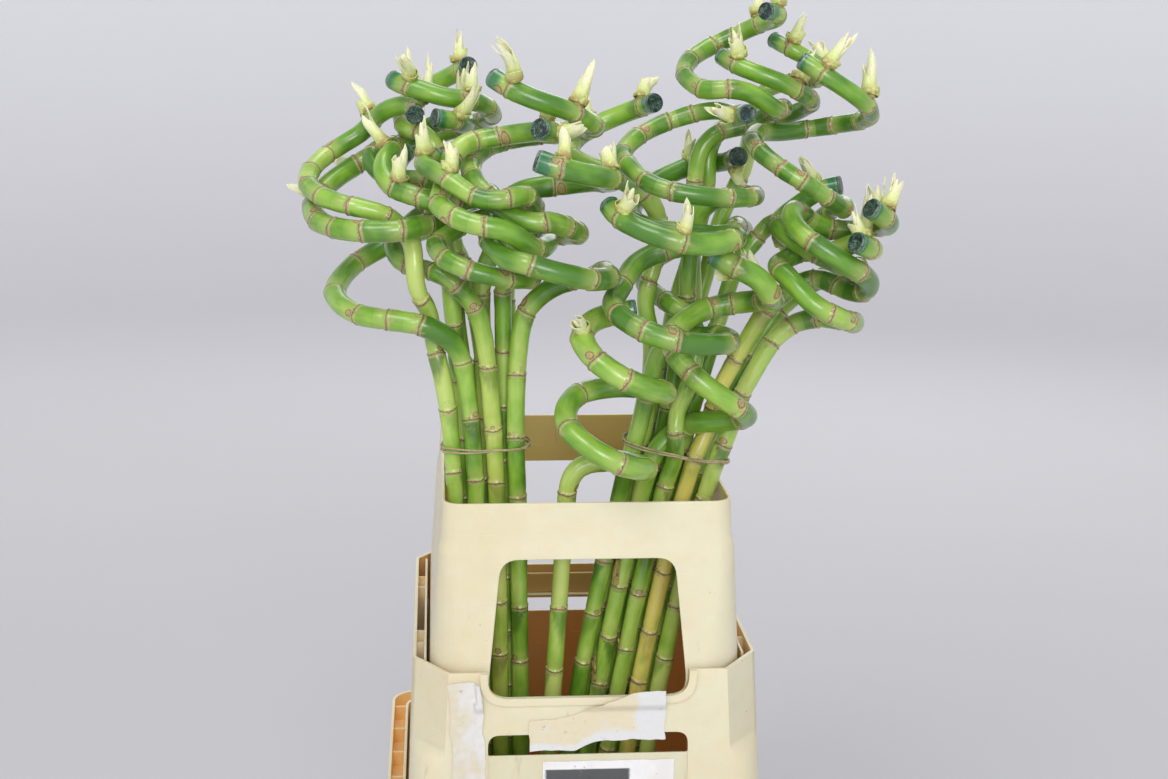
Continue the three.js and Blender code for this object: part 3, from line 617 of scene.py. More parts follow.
@dataclass(frozen=True)
class BambooSkin:
    """Waxy green stem skin, with its joint rings, patches, eyes and scars."""

    shade: tuple = colour(76, 128, 32)
    middle: tuple = colour(114, 165, 46)
    bright: tuple = colour(156, 197, 76)
    pale: tuple = colour(192, 213, 112)
    dark: tuple = colour(62, 102, 30)
    ring: tuple = colour(122, 88, 54)
    ring_pale: tuple = colour(200, 194, 130)
    crack: tuple = colour(100, 70, 44)
    scar: tuple = colour(176, 154, 116)
    gold: tuple = colour(240, 218, 116)
    speck: tuple = colour(96, 84, 40)
    eye: tuple = colour(158, 128, 84)
    eye_rim: tuple = colour(128, 86, 56)
    eye_pale: tuple = colour(190, 172, 116)
    seal: tuple = colour(24, 112, 80)
    seal_rim: tuple = colour(142, 154, 136)

    def build(self) -> Material:
        """Lay the colours over each other, from the skin out to the marks.

        Returns:
            The material.
        """
        g = Graph("bamboo_skin")
        grain = g.vector_of("grain")
        gap = g.value_of("joint_gap")
        beside = g.fade(g.value_of("joint_reach") - abs(gap), 3.0, 1.0)
        slow = g.streaks(grain, (0.7, 0.7, 0.35), 2.0)
        streak = g.streaks(grain, (4.0, 4.0, 0.6), 3.0, 0.6)
        fine = g.streaks(grain, (22.0, 22.0, 2.0), 2.0)
        ragged = g.noise(grain, 7.0, 3.0, 0.7)

        tone = slow * 0.7 + streak * 0.2 + g.value_of("tone") * 0.24
        skin = g.ramp(tone, [(0.28, self.shade), (0.45, self.middle), (0.66, self.bright), (0.84, self.pale)])
        above = g.fade(gap, 15.0, 1.0) * g.fade(gap, 0.0, 0.8) * beside * 0.45
        skin = g.mix(above, skin, self.pale)
        skin = g.mix(g.value_of("patch") * g.fade(streak, 0.1, 0.5) * 0.85, skin, self.dark)
        skin = g.mix(g.value_of("gold") * g.fade(slow, 0.1, 0.6), skin, self.gold)

        blotch = g.fade(g.noise(grain, 2.3, 4.0, 0.65), 0.57, 0.65)
        blotch *= g.fade(g.value_of("joint_reach"), 12.0, 2.0)
        skin = g.mix(blotch * 0.75, skin, self.scar)
        speck = g.fade(g.cells(grain, 3.6, "F1"), 0.13, 0.07)
        speck *= g.spots(grain, 1.1, 1.0, 0.52, 0.64)
        skin = g.mix(speck * 0.7, skin, self.speck)

        wander = gap + (ragged - 0.5) * 1.3
        thick = g.spots(grain, 1.9, 3.0, 0.4, 0.68) * 1.9
        off = abs(wander) - thick
        line = g.fade(off, 0.8, 0.1) * beside
        pale_line = g.near(wander, -1.7, 1.5) * beside
        skin = g.mix(pale_line * 0.55, skin, self.ring_pale)
        core = g.near(wander, -0.2, 0.75) * beside
        ring = g.ramp(ragged, [(0.34, self.ring), (0.5, self.scar), (0.66, self.ring_pale)])
        skin = g.mix(line * 0.85, skin, ring)
        skin = g.mix(core * 0.8, skin, g.mix(g.fade(streak, 0.4, 0.6), self.crack, self.ring))

        bud = g.value_of("bud_gap") + (ragged - 0.5) * 1.6
        skin = g.mix(g.fade(bud, 3.5, 2.5) * 0.8, skin, self.eye_pale)
        skin = g.mix(g.near(bud, 2.3, 0.7) * 0.9, skin, self.eye_rim)
        skin = g.mix(g.fade(bud, 1.9, 1.1) * g.fade(ragged, 0.3, 0.6) * 0.8, skin, self.eye)

        drip = ragged * 6.0 + slow * 10.0
        end = g.value_of("end_gap") + (drip - 8.0)
        sealed = g.fade(end, 13.0, 6.0)
        skin = g.mix(sealed * 0.8, skin, self.seal)
        rim = g.fade(g.value_of("rim"), 2.0, 0.5) * g.fade(ragged, 0.35, 0.55) * 0.7
        skin = g.mix(rim, skin, self.seal_rim)

        marks = g.most(line, blotch) - sealed * 0.3
        rough = 0.27 + fine * 0.12 + marks * 0.3
        height = streak * 0.5 + fine * 0.2 + line * ragged * 1.2
        g.into(Base_Color=skin, Roughness=rough, Normal=g.relief(height, 0.35, 0.6))
        g.into(Specular_IOR_Level=0.5, Coat_Weight=0.6, Coat_Roughness=0.22)
        return g.material


@dataclass(frozen=True)
class ShootSkin:
    """Cream leaf sheaths, browner at the root."""

    tip: tuple = colour(246, 244, 206)
    middle: tuple = colour(226, 232, 156)
    green: tuple = colour(182, 208, 104)
    root: tuple = colour(176, 146, 94)
    speck: tuple = colour(150, 112, 66)

    def build(self) -> Material:
        """Spread the colours along each sheath.

        Returns:
            The material.
        """
        g = Graph("shoot_skin")
        place = g.vector_of("grain")
        along = g.value_of("along")
        veins = g.streaks(place, (16.0, 16.0, 1.2), 3.0)
        patchy = g.noise(place, 3.0, 3.0)
        factor = along + (veins - 0.5) * 0.35
        skin = g.ramp(factor, [(0.02, self.green), (0.3, self.middle), (0.62, self.tip), (1.0, self.tip)])
        skin = g.mix(g.fade(veins, 0.5, 0.72) * 0.5, skin, self.green)
        root = g.fade(along, 0.34, 0.06) * g.fade(patchy, 0.38, 0.52)
        skin = g.mix(root, skin, self.root)
        skin = g.mix(g.spots(place, 9.0, 2.0, 0.66, 0.72) * 0.6, skin, self.speck)
        height = veins + patchy * 0.6
        g.into(Base_Color=skin, Roughness=0.42 + veins * 0.16)
        g.into(Normal=g.relief(height, 0.4, 0.8), Subsurface_Weight=0.12)
        g.shader.inputs["Subsurface Scale"].default_value = 2.0 * MM
        return g.material


@dataclass(frozen=True)
class DrySheath:
    """Papery brown leaf sheath."""

    light: tuple = colour(196, 176, 108)
    brown: tuple = colour(142, 116, 62)
    dark: tuple = colour(86, 60, 38)

    def build(self) -> Material:
        """Fibres along the stem, darker where it rots.

        Returns:
            The material.
        """
        g = Graph("dry_sheath")
        place = g.vector_of("grain")
        fibre = g.streaks(place, (26.0, 26.0, 1.6), 3.0)
        rot = g.noise(place, 2.6, 3.0)
        skin = g.ramp(fibre, [(0.32, self.brown), (0.62, self.light)])
        skin = g.mix(g.fade(rot, 0.48, 0.62) * 0.8, skin, self.dark)
        g.into(Base_Color=skin, Roughness=0.7 + fibre * 0.2, Normal=g.relief(fibre, 0.25))
        return g.material


@dataclass(frozen=True)
class WaxSeal:
    """Dark teal wax over the cut fibres."""

    deep: tuple = colour(10, 36, 30)
    teal: tuple = colour(20, 70, 54)
    fibre: tuple = colour(138, 158, 142)

    def build(self) -> Material:
        """Fibres in a network, with a dull rim.

        Returns:
            The material.
        """
        g = Graph("wax_seal")
        place = g.vector_of("disc")
        warped = g.noise(place, 3.0, 3.0)
        net = g.cells(place, 6.5, "DISTANCE_TO_EDGE")
        lines = g.fade(net, 0.11, 0.02) * g.fade(warped, 0.4, 0.6)
        base = g.ramp(warped, [(0.35, self.deep), (0.7, self.teal)])
        from_rim = g.value_of("rim_gap")
        skin = g.mix(lines * 0.75, base, self.fibre)
        skin = g.mix(g.fade(from_rim, 0.9, 0.2) * g.fade(warped, 0.3, 0.6) * 0.7, skin, self.fibre)
        rough = 0.3 + lines * 0.35
        g.into(Base_Color=skin, Roughness=rough, Normal=g.relief(lines + warped, 0.3, 0.8))
        g.into(Coat_Weight=0.2, Coat_Roughness=0.2)
        return g.material


@dataclass(frozen=True)
class MouldedPlastic:
    """Cream moulded plastic with scuffs and dirt, and a browner inside and channels painted with the glow of
    light through the plastic.
    """

    cream: tuple = colour(234, 226, 196)
    warm: tuple = colour(228, 213, 177)
    # inside, deep and channel are painted light: the orange glow of light through the thin plastic and
    # between its walls, with some dirt; deep, low down, is painted shade as well.
    inside: tuple = colour(204, 184, 100)
    deep: tuple = colour(206, 150, 72)
    channel: tuple = colour(250, 202, 134)
    # pocket is painted light: a pale cream that lifts the shade inside the side channels.
    pocket: tuple = colour(255, 236, 200)
    dirt: tuple = colour(126, 98, 66)
    scratch: tuple = colour(250, 244, 230)

    def build(self) -> Material:
        """Clean wall first, then the painted glow inside and in the channels, then wear.

        Returns:
            The material.
        """
        g = Graph("moulded_plastic")
        place = g.place()
        cloud = g.noise(place, 9.0, 3.0)
        mottle = g.noise(place, 90.0, 3.0, 0.6)
        tone = cloud * 0.7 + mottle * 0.3
        skin = g.ramp(tone, [(0.3, self.warm), (0.62, self.cream)])
        flat = g.stretched(place, (1.0, 1.0, 0.0))
        inward = g.fade(g.dot(g.facing(), flat), -0.03, -0.07)
        # Painted light: faces that look inwards take an orange glow, darker and oranger low down as painted
        # shade, and brighter in the outer channels.
        glow_and_dirt = g.mix(g.fade(g.part_of(place, "Z"), 0.44, 0.3), self.inside, self.deep)
        outer = g.fade(abs(g.part_of(place, "X")), 0.1165, 0.118)
        front = g.fade(abs(g.part_of(place, "Y")), 0.1615, 0.163)
        glow_and_dirt = g.mix(g.most(outer, front), glow_and_dirt, self.channel)
        skin = g.mix(inward * (0.55 + cloud * 0.5), skin, glow_and_dirt)
        # Painted light: the side channels are lit to pale cream and the rim channel glows orange, over their
        # shade.
        side, rim = self.pockets(g)
        skin = g.mix(rim * 0.95, skin, self.channel)
        skin = g.mix(side * 0.95, skin, self.pocket)
        spot = g.fade(g.cells(place, 130.0, "F1"), 0.1, 0.05)
        spot *= g.spots(place, 26.0, 2.0, 0.6, 0.68)
        smear = g.fade(g.streaks(place, (60.0, 60.0, 14.0), 4.0, 0.7), 0.64, 0.74) * 0.4
        skin = g.mix(g.most(spot * 0.85, smear * 0.5), skin, self.dirt)
        scratch = g.fade(g.streaks(place, (30.0, 30.0, 900.0), 2.0), 0.68, 0.76)
        skin = g.mix(scratch * 0.3, skin, self.scratch)
        rough = 0.36 + mottle * 0.14 + smear * 0.4
        height = mottle * 0.6 + scratch * -0.5
        g.into(Base_Color=skin, Roughness=rough, Normal=g.relief(height, 0.12, 0.5), Subsurface_Weight=0.3)
        g.shader.inputs["Subsurface Radius"].default_value = (1.0, 0.6, 0.3)
        g.shader.inputs["Subsurface Scale"].default_value = 8.0 * MM
        return g.material

    @staticmethod
    def pockets(g: Graph) -> tuple[Wire, Wire]:
        """Two masks for painted light, 1 inside the lower collar's side channels and inside the bucket's rim
        channel.

        Args:
            g: The plastic's graph.

        Returns:
            The mask of the side channels and the mask of the rim channel.
        """
        place = g.place()
        x, y = (abs(g.part_of(place, axis)) for axis in "XY")
        z = g.part_of(place, "Z")
        side = g.fade(x, 0.1184, 0.1189) * g.fade(x, 0.1252, 0.1242) * g.fade(y, 0.1208, 0.1203)
        side = side * g.fade(z, 0.336, 0.3375) * g.fade(z, 0.3785, 0.366)
        level = g.fade(z, 0.2185, 0.2195) * g.fade(z, 0.2345, 0.229)
        flank = g.fade(x, 0.1376, 0.1382) * g.fade(x, 0.1479, 0.1475)
        end = g.fade(y, 0.1681, 0.1687) * g.fade(y, 0.1789, 0.1785)
        return side, level * g.most(flank, end)


@dataclass(frozen=True)
class StillWater:
    """Standing water, a little green."""

    clear: tuple = colour(186, 202, 180)
    murky: tuple = colour(150, 168, 132)

    def build(self) -> Material:
        """Faint clouds under a smooth surface.

        Returns:
            The material.
        """
        g = Graph("still_water")
        cloud = g.noise(g.place(), 22.0, 3.0)
        ripple = g.noise(g.place(), 60.0, 2.0)
        g.into(Base_Color=g.ramp(cloud, [(0.3, self.murky), (0.7, self.clear)]))
        g.into(Roughness=0.05, IOR=1.33, Alpha=0.55, Normal=g.relief(ripple, 0.3, 0.3))
        return g.material


@dataclass(frozen=True)
class RubberStrand:
    """Worn tan rubber."""

    light: tuple = colour(196, 182, 142)
    worn: tuple = colour(146, 130, 96)

    def build(self) -> Material:
        """Dusty bands of wear.

        Returns:
            The material.
        """
        g = Graph("rubber_strand")
        dust = g.noise(g.place(), 420.0, 3.0)
        worn = g.noise(g.place(), 60.0, 2.0)
        skin = g.ramp(dust * 0.5 + worn * 0.5, [(0.35, self.worn), (0.65, self.light)])
        g.into(Base_Color=skin, Roughness=0.6 + dust * 0.25, Normal=g.relief(dust, 0.1, 0.6))
        return g.material


class Print(Enum):
    """What a blank label carries."""

    NOTHING = "nothing"
    BLOCKS = "blocks"


@dataclass(frozen=True)
class StickerFilm:
    """A blank sticker, creased, with glue and dirt showing through."""

    name: str
    face: tuple = colour(224, 223, 220)
    thin: tuple = colour(220, 211, 186)
    marks: Print = Print.NOTHING
    clear: float = 0.0
    ink: tuple = colour(52, 56, 58)
    dirt: tuple = colour(150, 130, 104)

    def build(self) -> Material:
        """Cloudy film, with plain blocks where the label has them.

        Returns:
            The material.
        """
        g = Graph(self.name)
        place = g.place()
        crease = g.streaks(place, (90.0, 90.0, 36.0), 4.0, 0.65)
        cloud = g.noise(place, 32.0, 4.0, 0.6) * 0.7 + crease * 0.3
        sheet = g.sheet_place()
        across, up = g.part_of(sheet, "X"), g.part_of(sheet, "Y")
        if self.clear:
            lifted = g.most(g.fade(up, 0.34, 0.04), g.fade(across, 0.72, 0.84))
            cloud += (lifted - 0.55) * self.clear
        skin = g.ramp(cloud, [(0.4, self.thin), (0.54, self.face)])
        if self.marks is Print.BLOCKS:
            across += (g.noise(place, 700.0, 3.0) - 0.5) * 0.02
            dark = g.within(across, 0.02, 0.66) * g.within(up, 0.0, 0.86)
            skin = g.mix(dark * 0.94, skin, self.ink)
        skin = g.mix(g.spots(place, 260.0, 2.0, 0.68, 0.74) * 0.4, skin, self.dirt)
        rough = 0.38 + crease * 0.25
        g.into(Base_Color=skin, Roughness=rough, Normal=g.relief(crease, 0.6, 0.5))
        return g.material


@dataclass(frozen=True)
class StudioPaper:
    """Pale seamless paper of the floor and the wall behind."""

    floor: tuple = colour(192, 191, 193)
    wall: tuple = colour(228, 228, 232)

    def build(self) -> Material:
        """Paler up the wall and lit from far off, with a faint grain.

        Returns:
            The material.
        """
        g = Graph("studio_paper")
        grain = g.noise(g.place(), 1.5, 2.0)
        up = g.part_of(g.place(), "Z") + (grain - 0.5) * 0.1
        g.into(Base_Color=g.mix(g.fade(up, -0.5, 1.0), self.floor, self.wall), Roughness=0.9)
        level = g.stretched(g.place(), (1.0, 1.0, 0.0))
        far = g.fade(g.sums("SQRT", g.dot(level, level)), 0.5, 3.0)
        g.into(Specular_IOR_Level=0.1, Emission_Color=self.wall, Emission_Strength=far * 0.19)
        g.material.cycles.emission_sampling = "NONE"
        return g.material


# The stalks' rule


@dataclass(frozen=True)
class StalkRow:
    """One stalk: where it stands, how it leans and how it curls.

    Attributes:
        foot: Where it stands on the bucket's floor.
        tie: Where it passes the container's rim.
        lean: Its slope above the rim.
        crown: How far above the rim it starts to bend over.
        heading: The way that it bends to, in degrees from +X.
        radius: The curl's radius.
        turns: How many turns it makes.
        climb: The curl's climb angle in degrees.
        axis: The slope of the curl's axis.
        bend: The length of the first bend.
    """

    foot: tuple[float, float]
    tie: tuple[float, float]
    lean: tuple[float, float]
    crown: float
    heading: float
    radius: float
    turns: float
    climb: float
    axis: tuple[float, float]
    bend: float


@dataclass(frozen=True)
class Bundle:
    """Stalks that are tied together, and their common tilt at the rim."""

    tilt: float
    rows: tuple[StalkRow, ...]


LEFT_BUNDLE = Bundle(
    -0.03,
    (
        StalkRow((-78, -53), (-80, -86), (-0.17, 0), 64, 208, 51, 1.6, 12, (-0.22, -0.12), 104),
        StalkRow((-94, -53), (-95, -86), (-0.18, 0), 150, 205, 44, 0.85, 15, (-0.2, -0.12), 90),
        StalkRow((-63, -53), (-65, -86), (-0.1, 0), 93, 200, 37, 1.5, 14, (-0.1, -0.2), 100),
        StalkRow((-48, -51), (-50, -84), (0.05, 0), 92, 12, 43, 1.6, 15, (0.02, -0.15), 90),
        StalkRow((-56, -38), (-57, -71), (-0.04, 0), 131, -30, 35, 1.8, 13, (0.02, -0.15), 34),
        StalkRow((-71, -38), (-73, -71), (0.02, 0), 150, -5, 40, 1.4, 18, (0.05, -0.25), 42),
        StalkRow((-86, -38), (-88, -71), (-0.08, 0), 196, 190, 35, 1, 12, (-0.05, -0.15), 42),
        StalkRow((-79, -23), (-81, -57), (-0.08, 0.04), 176, 180, 38, 1.2, 18, (-0.05, -0.1), 42),
        StalkRow((-64, -23), (-66, -57), (-0.2, 0.06), 228, 160, 30, 0.7, 17, (-0.2, -0.1), 42),
        StalkRow((-49, -23), (-51, -57), (-0.04, 0.04), 150, 0, 43, 1.65, 16, (0.12, -0.1), 42),
    ),
)
SINGLE_STALK = Bundle(
    0.06,
    (StalkRow((-38, -80), (-13, -106), (0.06, -0.05), -4, 18, 33, 2.1, 16, (0.2, -0.15), 36),),
)
RIGHT_BUNDLE = Bundle(
    0.23,
    (
        StalkRow((-28, -51), (32, -86), (0.18, 0), 84, 0, 43, 1.75, 15, (-0.05, -0.2), 34),
        StalkRow((-12, -51), (47, -87), (0.22, 0), -20, 25, 33, 1.7, 24, (0.2, -0.1), 105),
        StalkRow((4, -51), (62, -86), (0.18, 0), 88, 165, 40, 1.7, 13, (-0.15, -0.15), 65),
        StalkRow((20, -51), (77, -86), (0.52, 0), 106, 10, 34, 1.5, 11, (0.35, 0), 108),
        StalkRow((36, -51), (91, -88), (0.56, 0), 85, 5, 32, 1.5, 15, (0.2, -0.15), 80),
        StalkRow((-20, -36), (40, -71), (0.02, 0.02), 154, 198, 35, 0.78, 13, (-0.2, -0.1), 124),
        StalkRow((-4, -36), (55, -71), (0.11, 0.03), 181, -20, 46, 1.2, 13, (-0.1, -0.15), 42),
        StalkRow((12, -36), (70, -71), (0.28, 0.05), 162, 20, 38, 1.68, 17, (0.25, 0), 50),
        StalkRow((28, -36), (86, -71), (0.6, 0.05), 106, 0, 28, 1.15, 18, (0.1, -0.1), 94),
        StalkRow((4, -21), (63, -56), (0.08, 0.08), 222, 30, 35, 1.5, 17, (-0.1, -0.1), 42),
        StalkRow((-12, -21), (47, -56), (0.22, 0.13), 234, 30, 37, 0.8, 16, (0.1, 0), 42),
        StalkRow((-4, -6), (55, -41), (0.3, 0.1), 262, 20, 25, 0.8, 16, (0.2, 0), 50),
    ),
)
BUNDLES = (LEFT_BUNDLE, SINGLE_STALK, RIGHT_BUNDLE)

# Inside half width of the container at a height
INSIDE_HEIGHTS = (337.1, 383.0, 466.0, 473.0, 501.5)
INSIDE_WIDTHS = (116.5, 114.4, 108.2, 106.4, 105.0)


class EvenDraw:
    """Repeatable random numbers between 0 and 1, the same as the solids use."""

    def __init__(self, seed: int) -> None:
        """Start the sequence."""
        self.state = seed

    def next(self) -> float:
        """The next number."""
        self.state = (self.state * 16807) % 2147483647
        return self.state / 2147483647


@dataclass
class Station:
    """A place on a stalk's middle line."""

    centre: Vec
    way: Vec
    radius: float


class Route:
    """The middle line of one stalk, a point every step along it."""

    def __init__(self, row: StalkRow, tilt: float) -> None:
        """Lay the route out by its row and its bundle's tilt.

        Args:
            row: The stalk's own values.
            tilt: The bundle's slope at the rim.
        """
        self.row = row
        self.tilt = tilt
        self.girth = 1.0
        points: list[Vec] = []
        crown = TIE_HEIGHT + row.crown
        stem_steps = round((crown - FOOT_HEIGHT) / STEP)
        for i in range(stem_steps):
            points.append(self.spot(FOOT_HEIGHT + (crown - FOOT_HEIGHT) * i / stem_steps))
        self.crown_index = len(points)
        points += self.curl(crown)
        self.points = np.array(points)
        self.lengths = np.zeros(len(points))

    def spot(self, height: float) -> Vec:
        """Where the straight stem is at a height.

        Args:
            height: Height above the floor.

        Returns:
            The place.
        """
        row = self.row
        span = TIE_HEIGHT - FOOT_HEIGHT
        slope = (self.tilt, (row.tie[1] - row.foot[1]) / span)
        place = []
        for k in range(2):
            if height <= TIE_HEIGHT:
                t = (height - FOOT_HEIGHT) / span
                chord = row.tie[k] - row.foot[k]
                place.append(row.foot[k] + chord * t + (slope[k] * span - chord) * t * (t - 1))
            else:
                rise = height - TIE_HEIGHT
                swayed = min(rise, SWAY_LENGTH) ** 2 / (2 * SWAY_LENGTH) + max(0.0, rise - SWAY_LENGTH)
                place.append(row.tie[k] + slope[k] * rise + (row.lean[k] - slope[k]) * swayed)
        return np.array([place[0], place[1], height])

    def curl(self, crown: float) -> list[Vec]:
        """The points of the curl above the crown.

        Args:
            crown: The height that it starts at.

        Returns:
            The points in order.
        """
        row = self.row
        place = self.spot(crown)
        stem_way = unit(place - self.spot(crown - 1))
        up = unit(np.array([row.axis[0], row.axis[1], 1.0]))
        east = unit(np.array([1.0, 0.0, 0.0]) - up * up[0])
        north = np.cross(up, east)
        climb, heading = math.radians(row.climb), math.radians(row.heading)
        length = row.turns * 2 * math.pi * row.radius / math.cos(climb) + row.bend / 2
        points = []
        for i in range(round(length / STEP) + 1):
            points.append(place.copy())
            t = min(1.0, i * STEP / row.bend)
            curled = t * t * (3 - 2 * t)
            way = up * math.sin(climb) + east * math.cos(climb) * math.cos(heading)
            way = way + north * math.cos(climb) * math.sin(heading)
            way = unit(way * curled + stem_way * (1 - curled))
            place = place + way * STEP
            heading -= curled * STEP * math.cos(climb) / row.radius
        return points

    def radius_at(self, index: float | Vec) -> Vec:
        """The stalk's radius at a point's index, whole or not."""
        swell = np.clip((np.asarray(index, float) - self.crown_index) * STEP / SWELL_LENGTH, 0, 1)
        return STEM_RADIUS + (CURL_RADIUS - STEM_RADIUS) * swell

    def measure(self) -> None:
        """Add up the distances along the route."""
        steps = np.linalg.norm(np.diff(self.points, axis=0), axis=1)
        self.lengths = np.concatenate([[0.0], np.cumsum(steps)])

    @property
    def length(self) -> float:
        """The route's whole length."""
        return float(self.lengths[-1])

    def station(self, distance: float) -> Station:
        """The place, direction and radius at a distance, on the straight chords.

        Args:
            distance: Distance along the route.

        Returns:
            The station there.
        """
        last = len(self.points) - 1
        i = int(np.clip(np.searchsorted(self.lengths, distance), 1, last))
        t = (distance - self.lengths[i - 1]) / (self.lengths[i] - self.lengths[i - 1])
        centre = self.points[i - 1] + (self.points[i] - self.points[i - 1]) * t
        way = unit(self.points[min(last, i + 1)] - self.points[max(0, i - 2)])
        return Station(centre, way, float(self.radius_at(i - 1 + t)))

    def smooth_stations(self, distances: Vec) -> tuple[Vec, Vec, Vec]:
        """Places, directions and radii on a smooth curve through the route's points.

        Args:
            distances: Distances along the route.

        Returns:
            Centres, unit directions and radii, one for each distance.
        """
        last = len(self.points) - 1
        i = np.clip(np.searchsorted(self.lengths, distances), 1, last)
        t = (distances - self.lengths[i - 1]) / (self.lengths[i] - self.lengths[i - 1])
        a, b = self.points[i - 1], self.points[i]
        before = self.points[np.maximum(i - 2, 0)]
        after = self.points[np.minimum(i + 1, last)]
        start = np.where((i > 1)[:, None], (b - before) / 2, b - a)
        stop = np.where((i < last)[:, None], (after - a) / 2, b - a)
        s = t[:, None]
        centre = (
            (2 * s**3 - 3 * s**2 + 1) * a
            + (s**3 - 2 * s**2 + s) * start
            + (3 * s**2 - 2 * s**3) * b
            + (s**3 - s**2) * stop
        )
        way = (6 * s**2 - 6 * s) * (a - b) + (3 * s**2 - 4 * s + 1) * start + (3 * s**2 - 2 * s) * stop
        radius = self.radius_at(i - 1 + t)
        swell = (radius - STEM_RADIUS) / (CURL_RADIUS - STEM_RADIUS)
        return centre, units(way), radius * (1 + (self.girth - 1) * swell)


class Easing:
    """Pushes routes that come too close apart, a little at a time."""

    def __init__(self, routes: list[Route]) -> None:
        """Gather every point of the routes.

        Args:
            routes: The routes that make room for each other.
        """
        self.routes = routes
        self.place = np.concatenate([route.points for route in routes])
        self.stalk = np.concatenate([np.full(len(r.points), k) for k, r in enumerate(routes)])
        self.index = np.concatenate([np.arange(len(r.points)) for r in routes])
        self.radius = np.concatenate([r.radius_at(np.arange(len(r.points))) for r in routes])
        self.give = np.clip((self.place[:, 2] - HELD_HEIGHT) / FREE_HEIGHT, 0, 1)

    def close_pairs(self) -> tuple[Vec, Vec, Vec]:
        """Pairs of points that are near each other, and the least distance between each.

        Returns:
            First points, second points and least distances.
        """
        firsts, seconds, least = [], [], []
        for i in range(len(self.place) - 1):
            others = slice(i + 1, None)
            wanted = self.radius[i] + self.radius[others] + CLEARANCE
            apart = self.place[others] - self.place[i]
            close = (apart**2).sum(1) < (wanted + SEARCH_REACH) ** 2
            own = self.stalk[others] == self.stalk[i]
            close &= ~(own & ((self.index[others] - self.index[i]) * STEP <= SELF_REACH))
            found = np.nonzero(close)[0]
            firsts.append(np.full(len(found), i))
            seconds.append(found + i + 1)
            least.append(wanted[found])
        return np.concatenate(firsts), np.concatenate(seconds), np.concatenate(least)

    def run(self) -> None:
        """Ease until nothing touches or the rounds are used up, and write the points back."""
        spans = np.cumsum([0] + [len(r.points) for r in self.routes])
        for turn in range(EASE_ROUNDS):
            if turn % SEARCH_EVERY == 0:
                first, second, least = self.close_pairs()
            apart = self.place[first] - self.place[second]
            distance = np.linalg.norm(apart, axis=1)
            hit = distance < least
            if not hit.any():
                break
            shove = apart[hit] * (0.5 * (least[hit] - distance[hit]) / distance[hit])[:, None]
            push = np.zeros_like(self.place)
            np.add.at(push, first[hit], shove)
            np.subtract.at(push, second[hit], shove)
            hits = sum(np.bincount(end[hit], minlength=len(push)) for end in (first, second))
            push /= np.maximum(1, hits)[:, None]
            inside = np.interp(self.place[:, 2], INSIDE_HEIGHTS, INSIDE_WIDTHS) - WALL
            over = np.abs(self.place[:, 0]) - (inside - self.radius - WALL_CLEARANCE)
            held = (over > 0) & (self.place[:, 2] < TIE_HEIGHT)
            push[held, 0] -= np.sign(self.place[held, 0]) * over[held]
            for low, high in zip(spans[:-1], spans[1:]):
                own = push[low:high]
                for _ in range(SMOOTH_PASSES):
                    padded = np.concatenate([own[:1], own, own[-1:]])
                    own = (padded[:-2] + 2 * own + padded[2:]) / 4
                push[low:high] = own
            self.place += push * (PUSH_GAIN * self.give)[:, None]
        for route, low, high in zip(self.routes, spans[:-1], spans[1:]):
            route.points = self.place[low:high]
            route.measure()


class Shoot:
    """One leaf shoot, bent from its root to its tip."""

    def __init__(self, station: Station, outward: Vec, length: float) -> None:
        """Place the three points of its spine.

        Args:
            station: Where it grows from.
            outward: The way that it sets out.
            length: Its length.
        """
        lift = unit(np.array([0.0, 0.0, 1.0]) + station.way * 0.6)
        tip = unit(outward + lift * 0.9)
        self.outward = outward
        self.root = station.centre + outward * (station.radius - SHOOT_ROOT)
        self.middle = self.root + outward * (SHOOT_ROOT + length * 0.4)
        self.end = self.middle + tip * (length * 0.6)
        self.length = length

    def grown(self, growth: float, lean: Vec) -> Shoot:
        """The same shoot, longer or shorter and leaning another way.

        Args:
            growth: Its length against this one's.
            lean: What is added to its tip's direction.

        Returns:
            A new shoot from the same root.
        """
        made = copy(self)
        made.length = self.length * growth
        made.middle = self.root + unit(self.outward + lean * 0.3) * (SHOOT_ROOT + made.length * 0.4)
        made.end = made.middle + unit(unit(self.end - self.middle) + lean) * (made.length * 0.6)
        return made

    def probes(self) -> list[Vec]:
        """Points that are tested for room."""
        return [self.middle, self.end, (self.middle + self.end) / 2]

    def along(self, t: Vec) -> tuple[Vec, Vec]:
        """Places and directions on the smooth spine, from 0 at the root to 1 at the tip.

        Args:
            t: How far along the spine.

        Returns:
            Places and unit directions.
        """
        s = np.asarray(t, float)[:, None]
        bend = self.middle
        centre = (1 - s) ** 2 * self.root + 2 * s * (1 - s) * bend + s**2 * self.end
        return centre, units(2 * (1 - s) * (bend - self.root) + 2 * s * (self.end - bend))

    def across(self, way: Vec) -> tuple[Vec, Vec]:
        """Two directions across the spine for each direction along it."""
        side = units(np.cross(way, self.outward + np.array([0.11, 0.07, 0.05])))
        return side, np.cross(way, side)


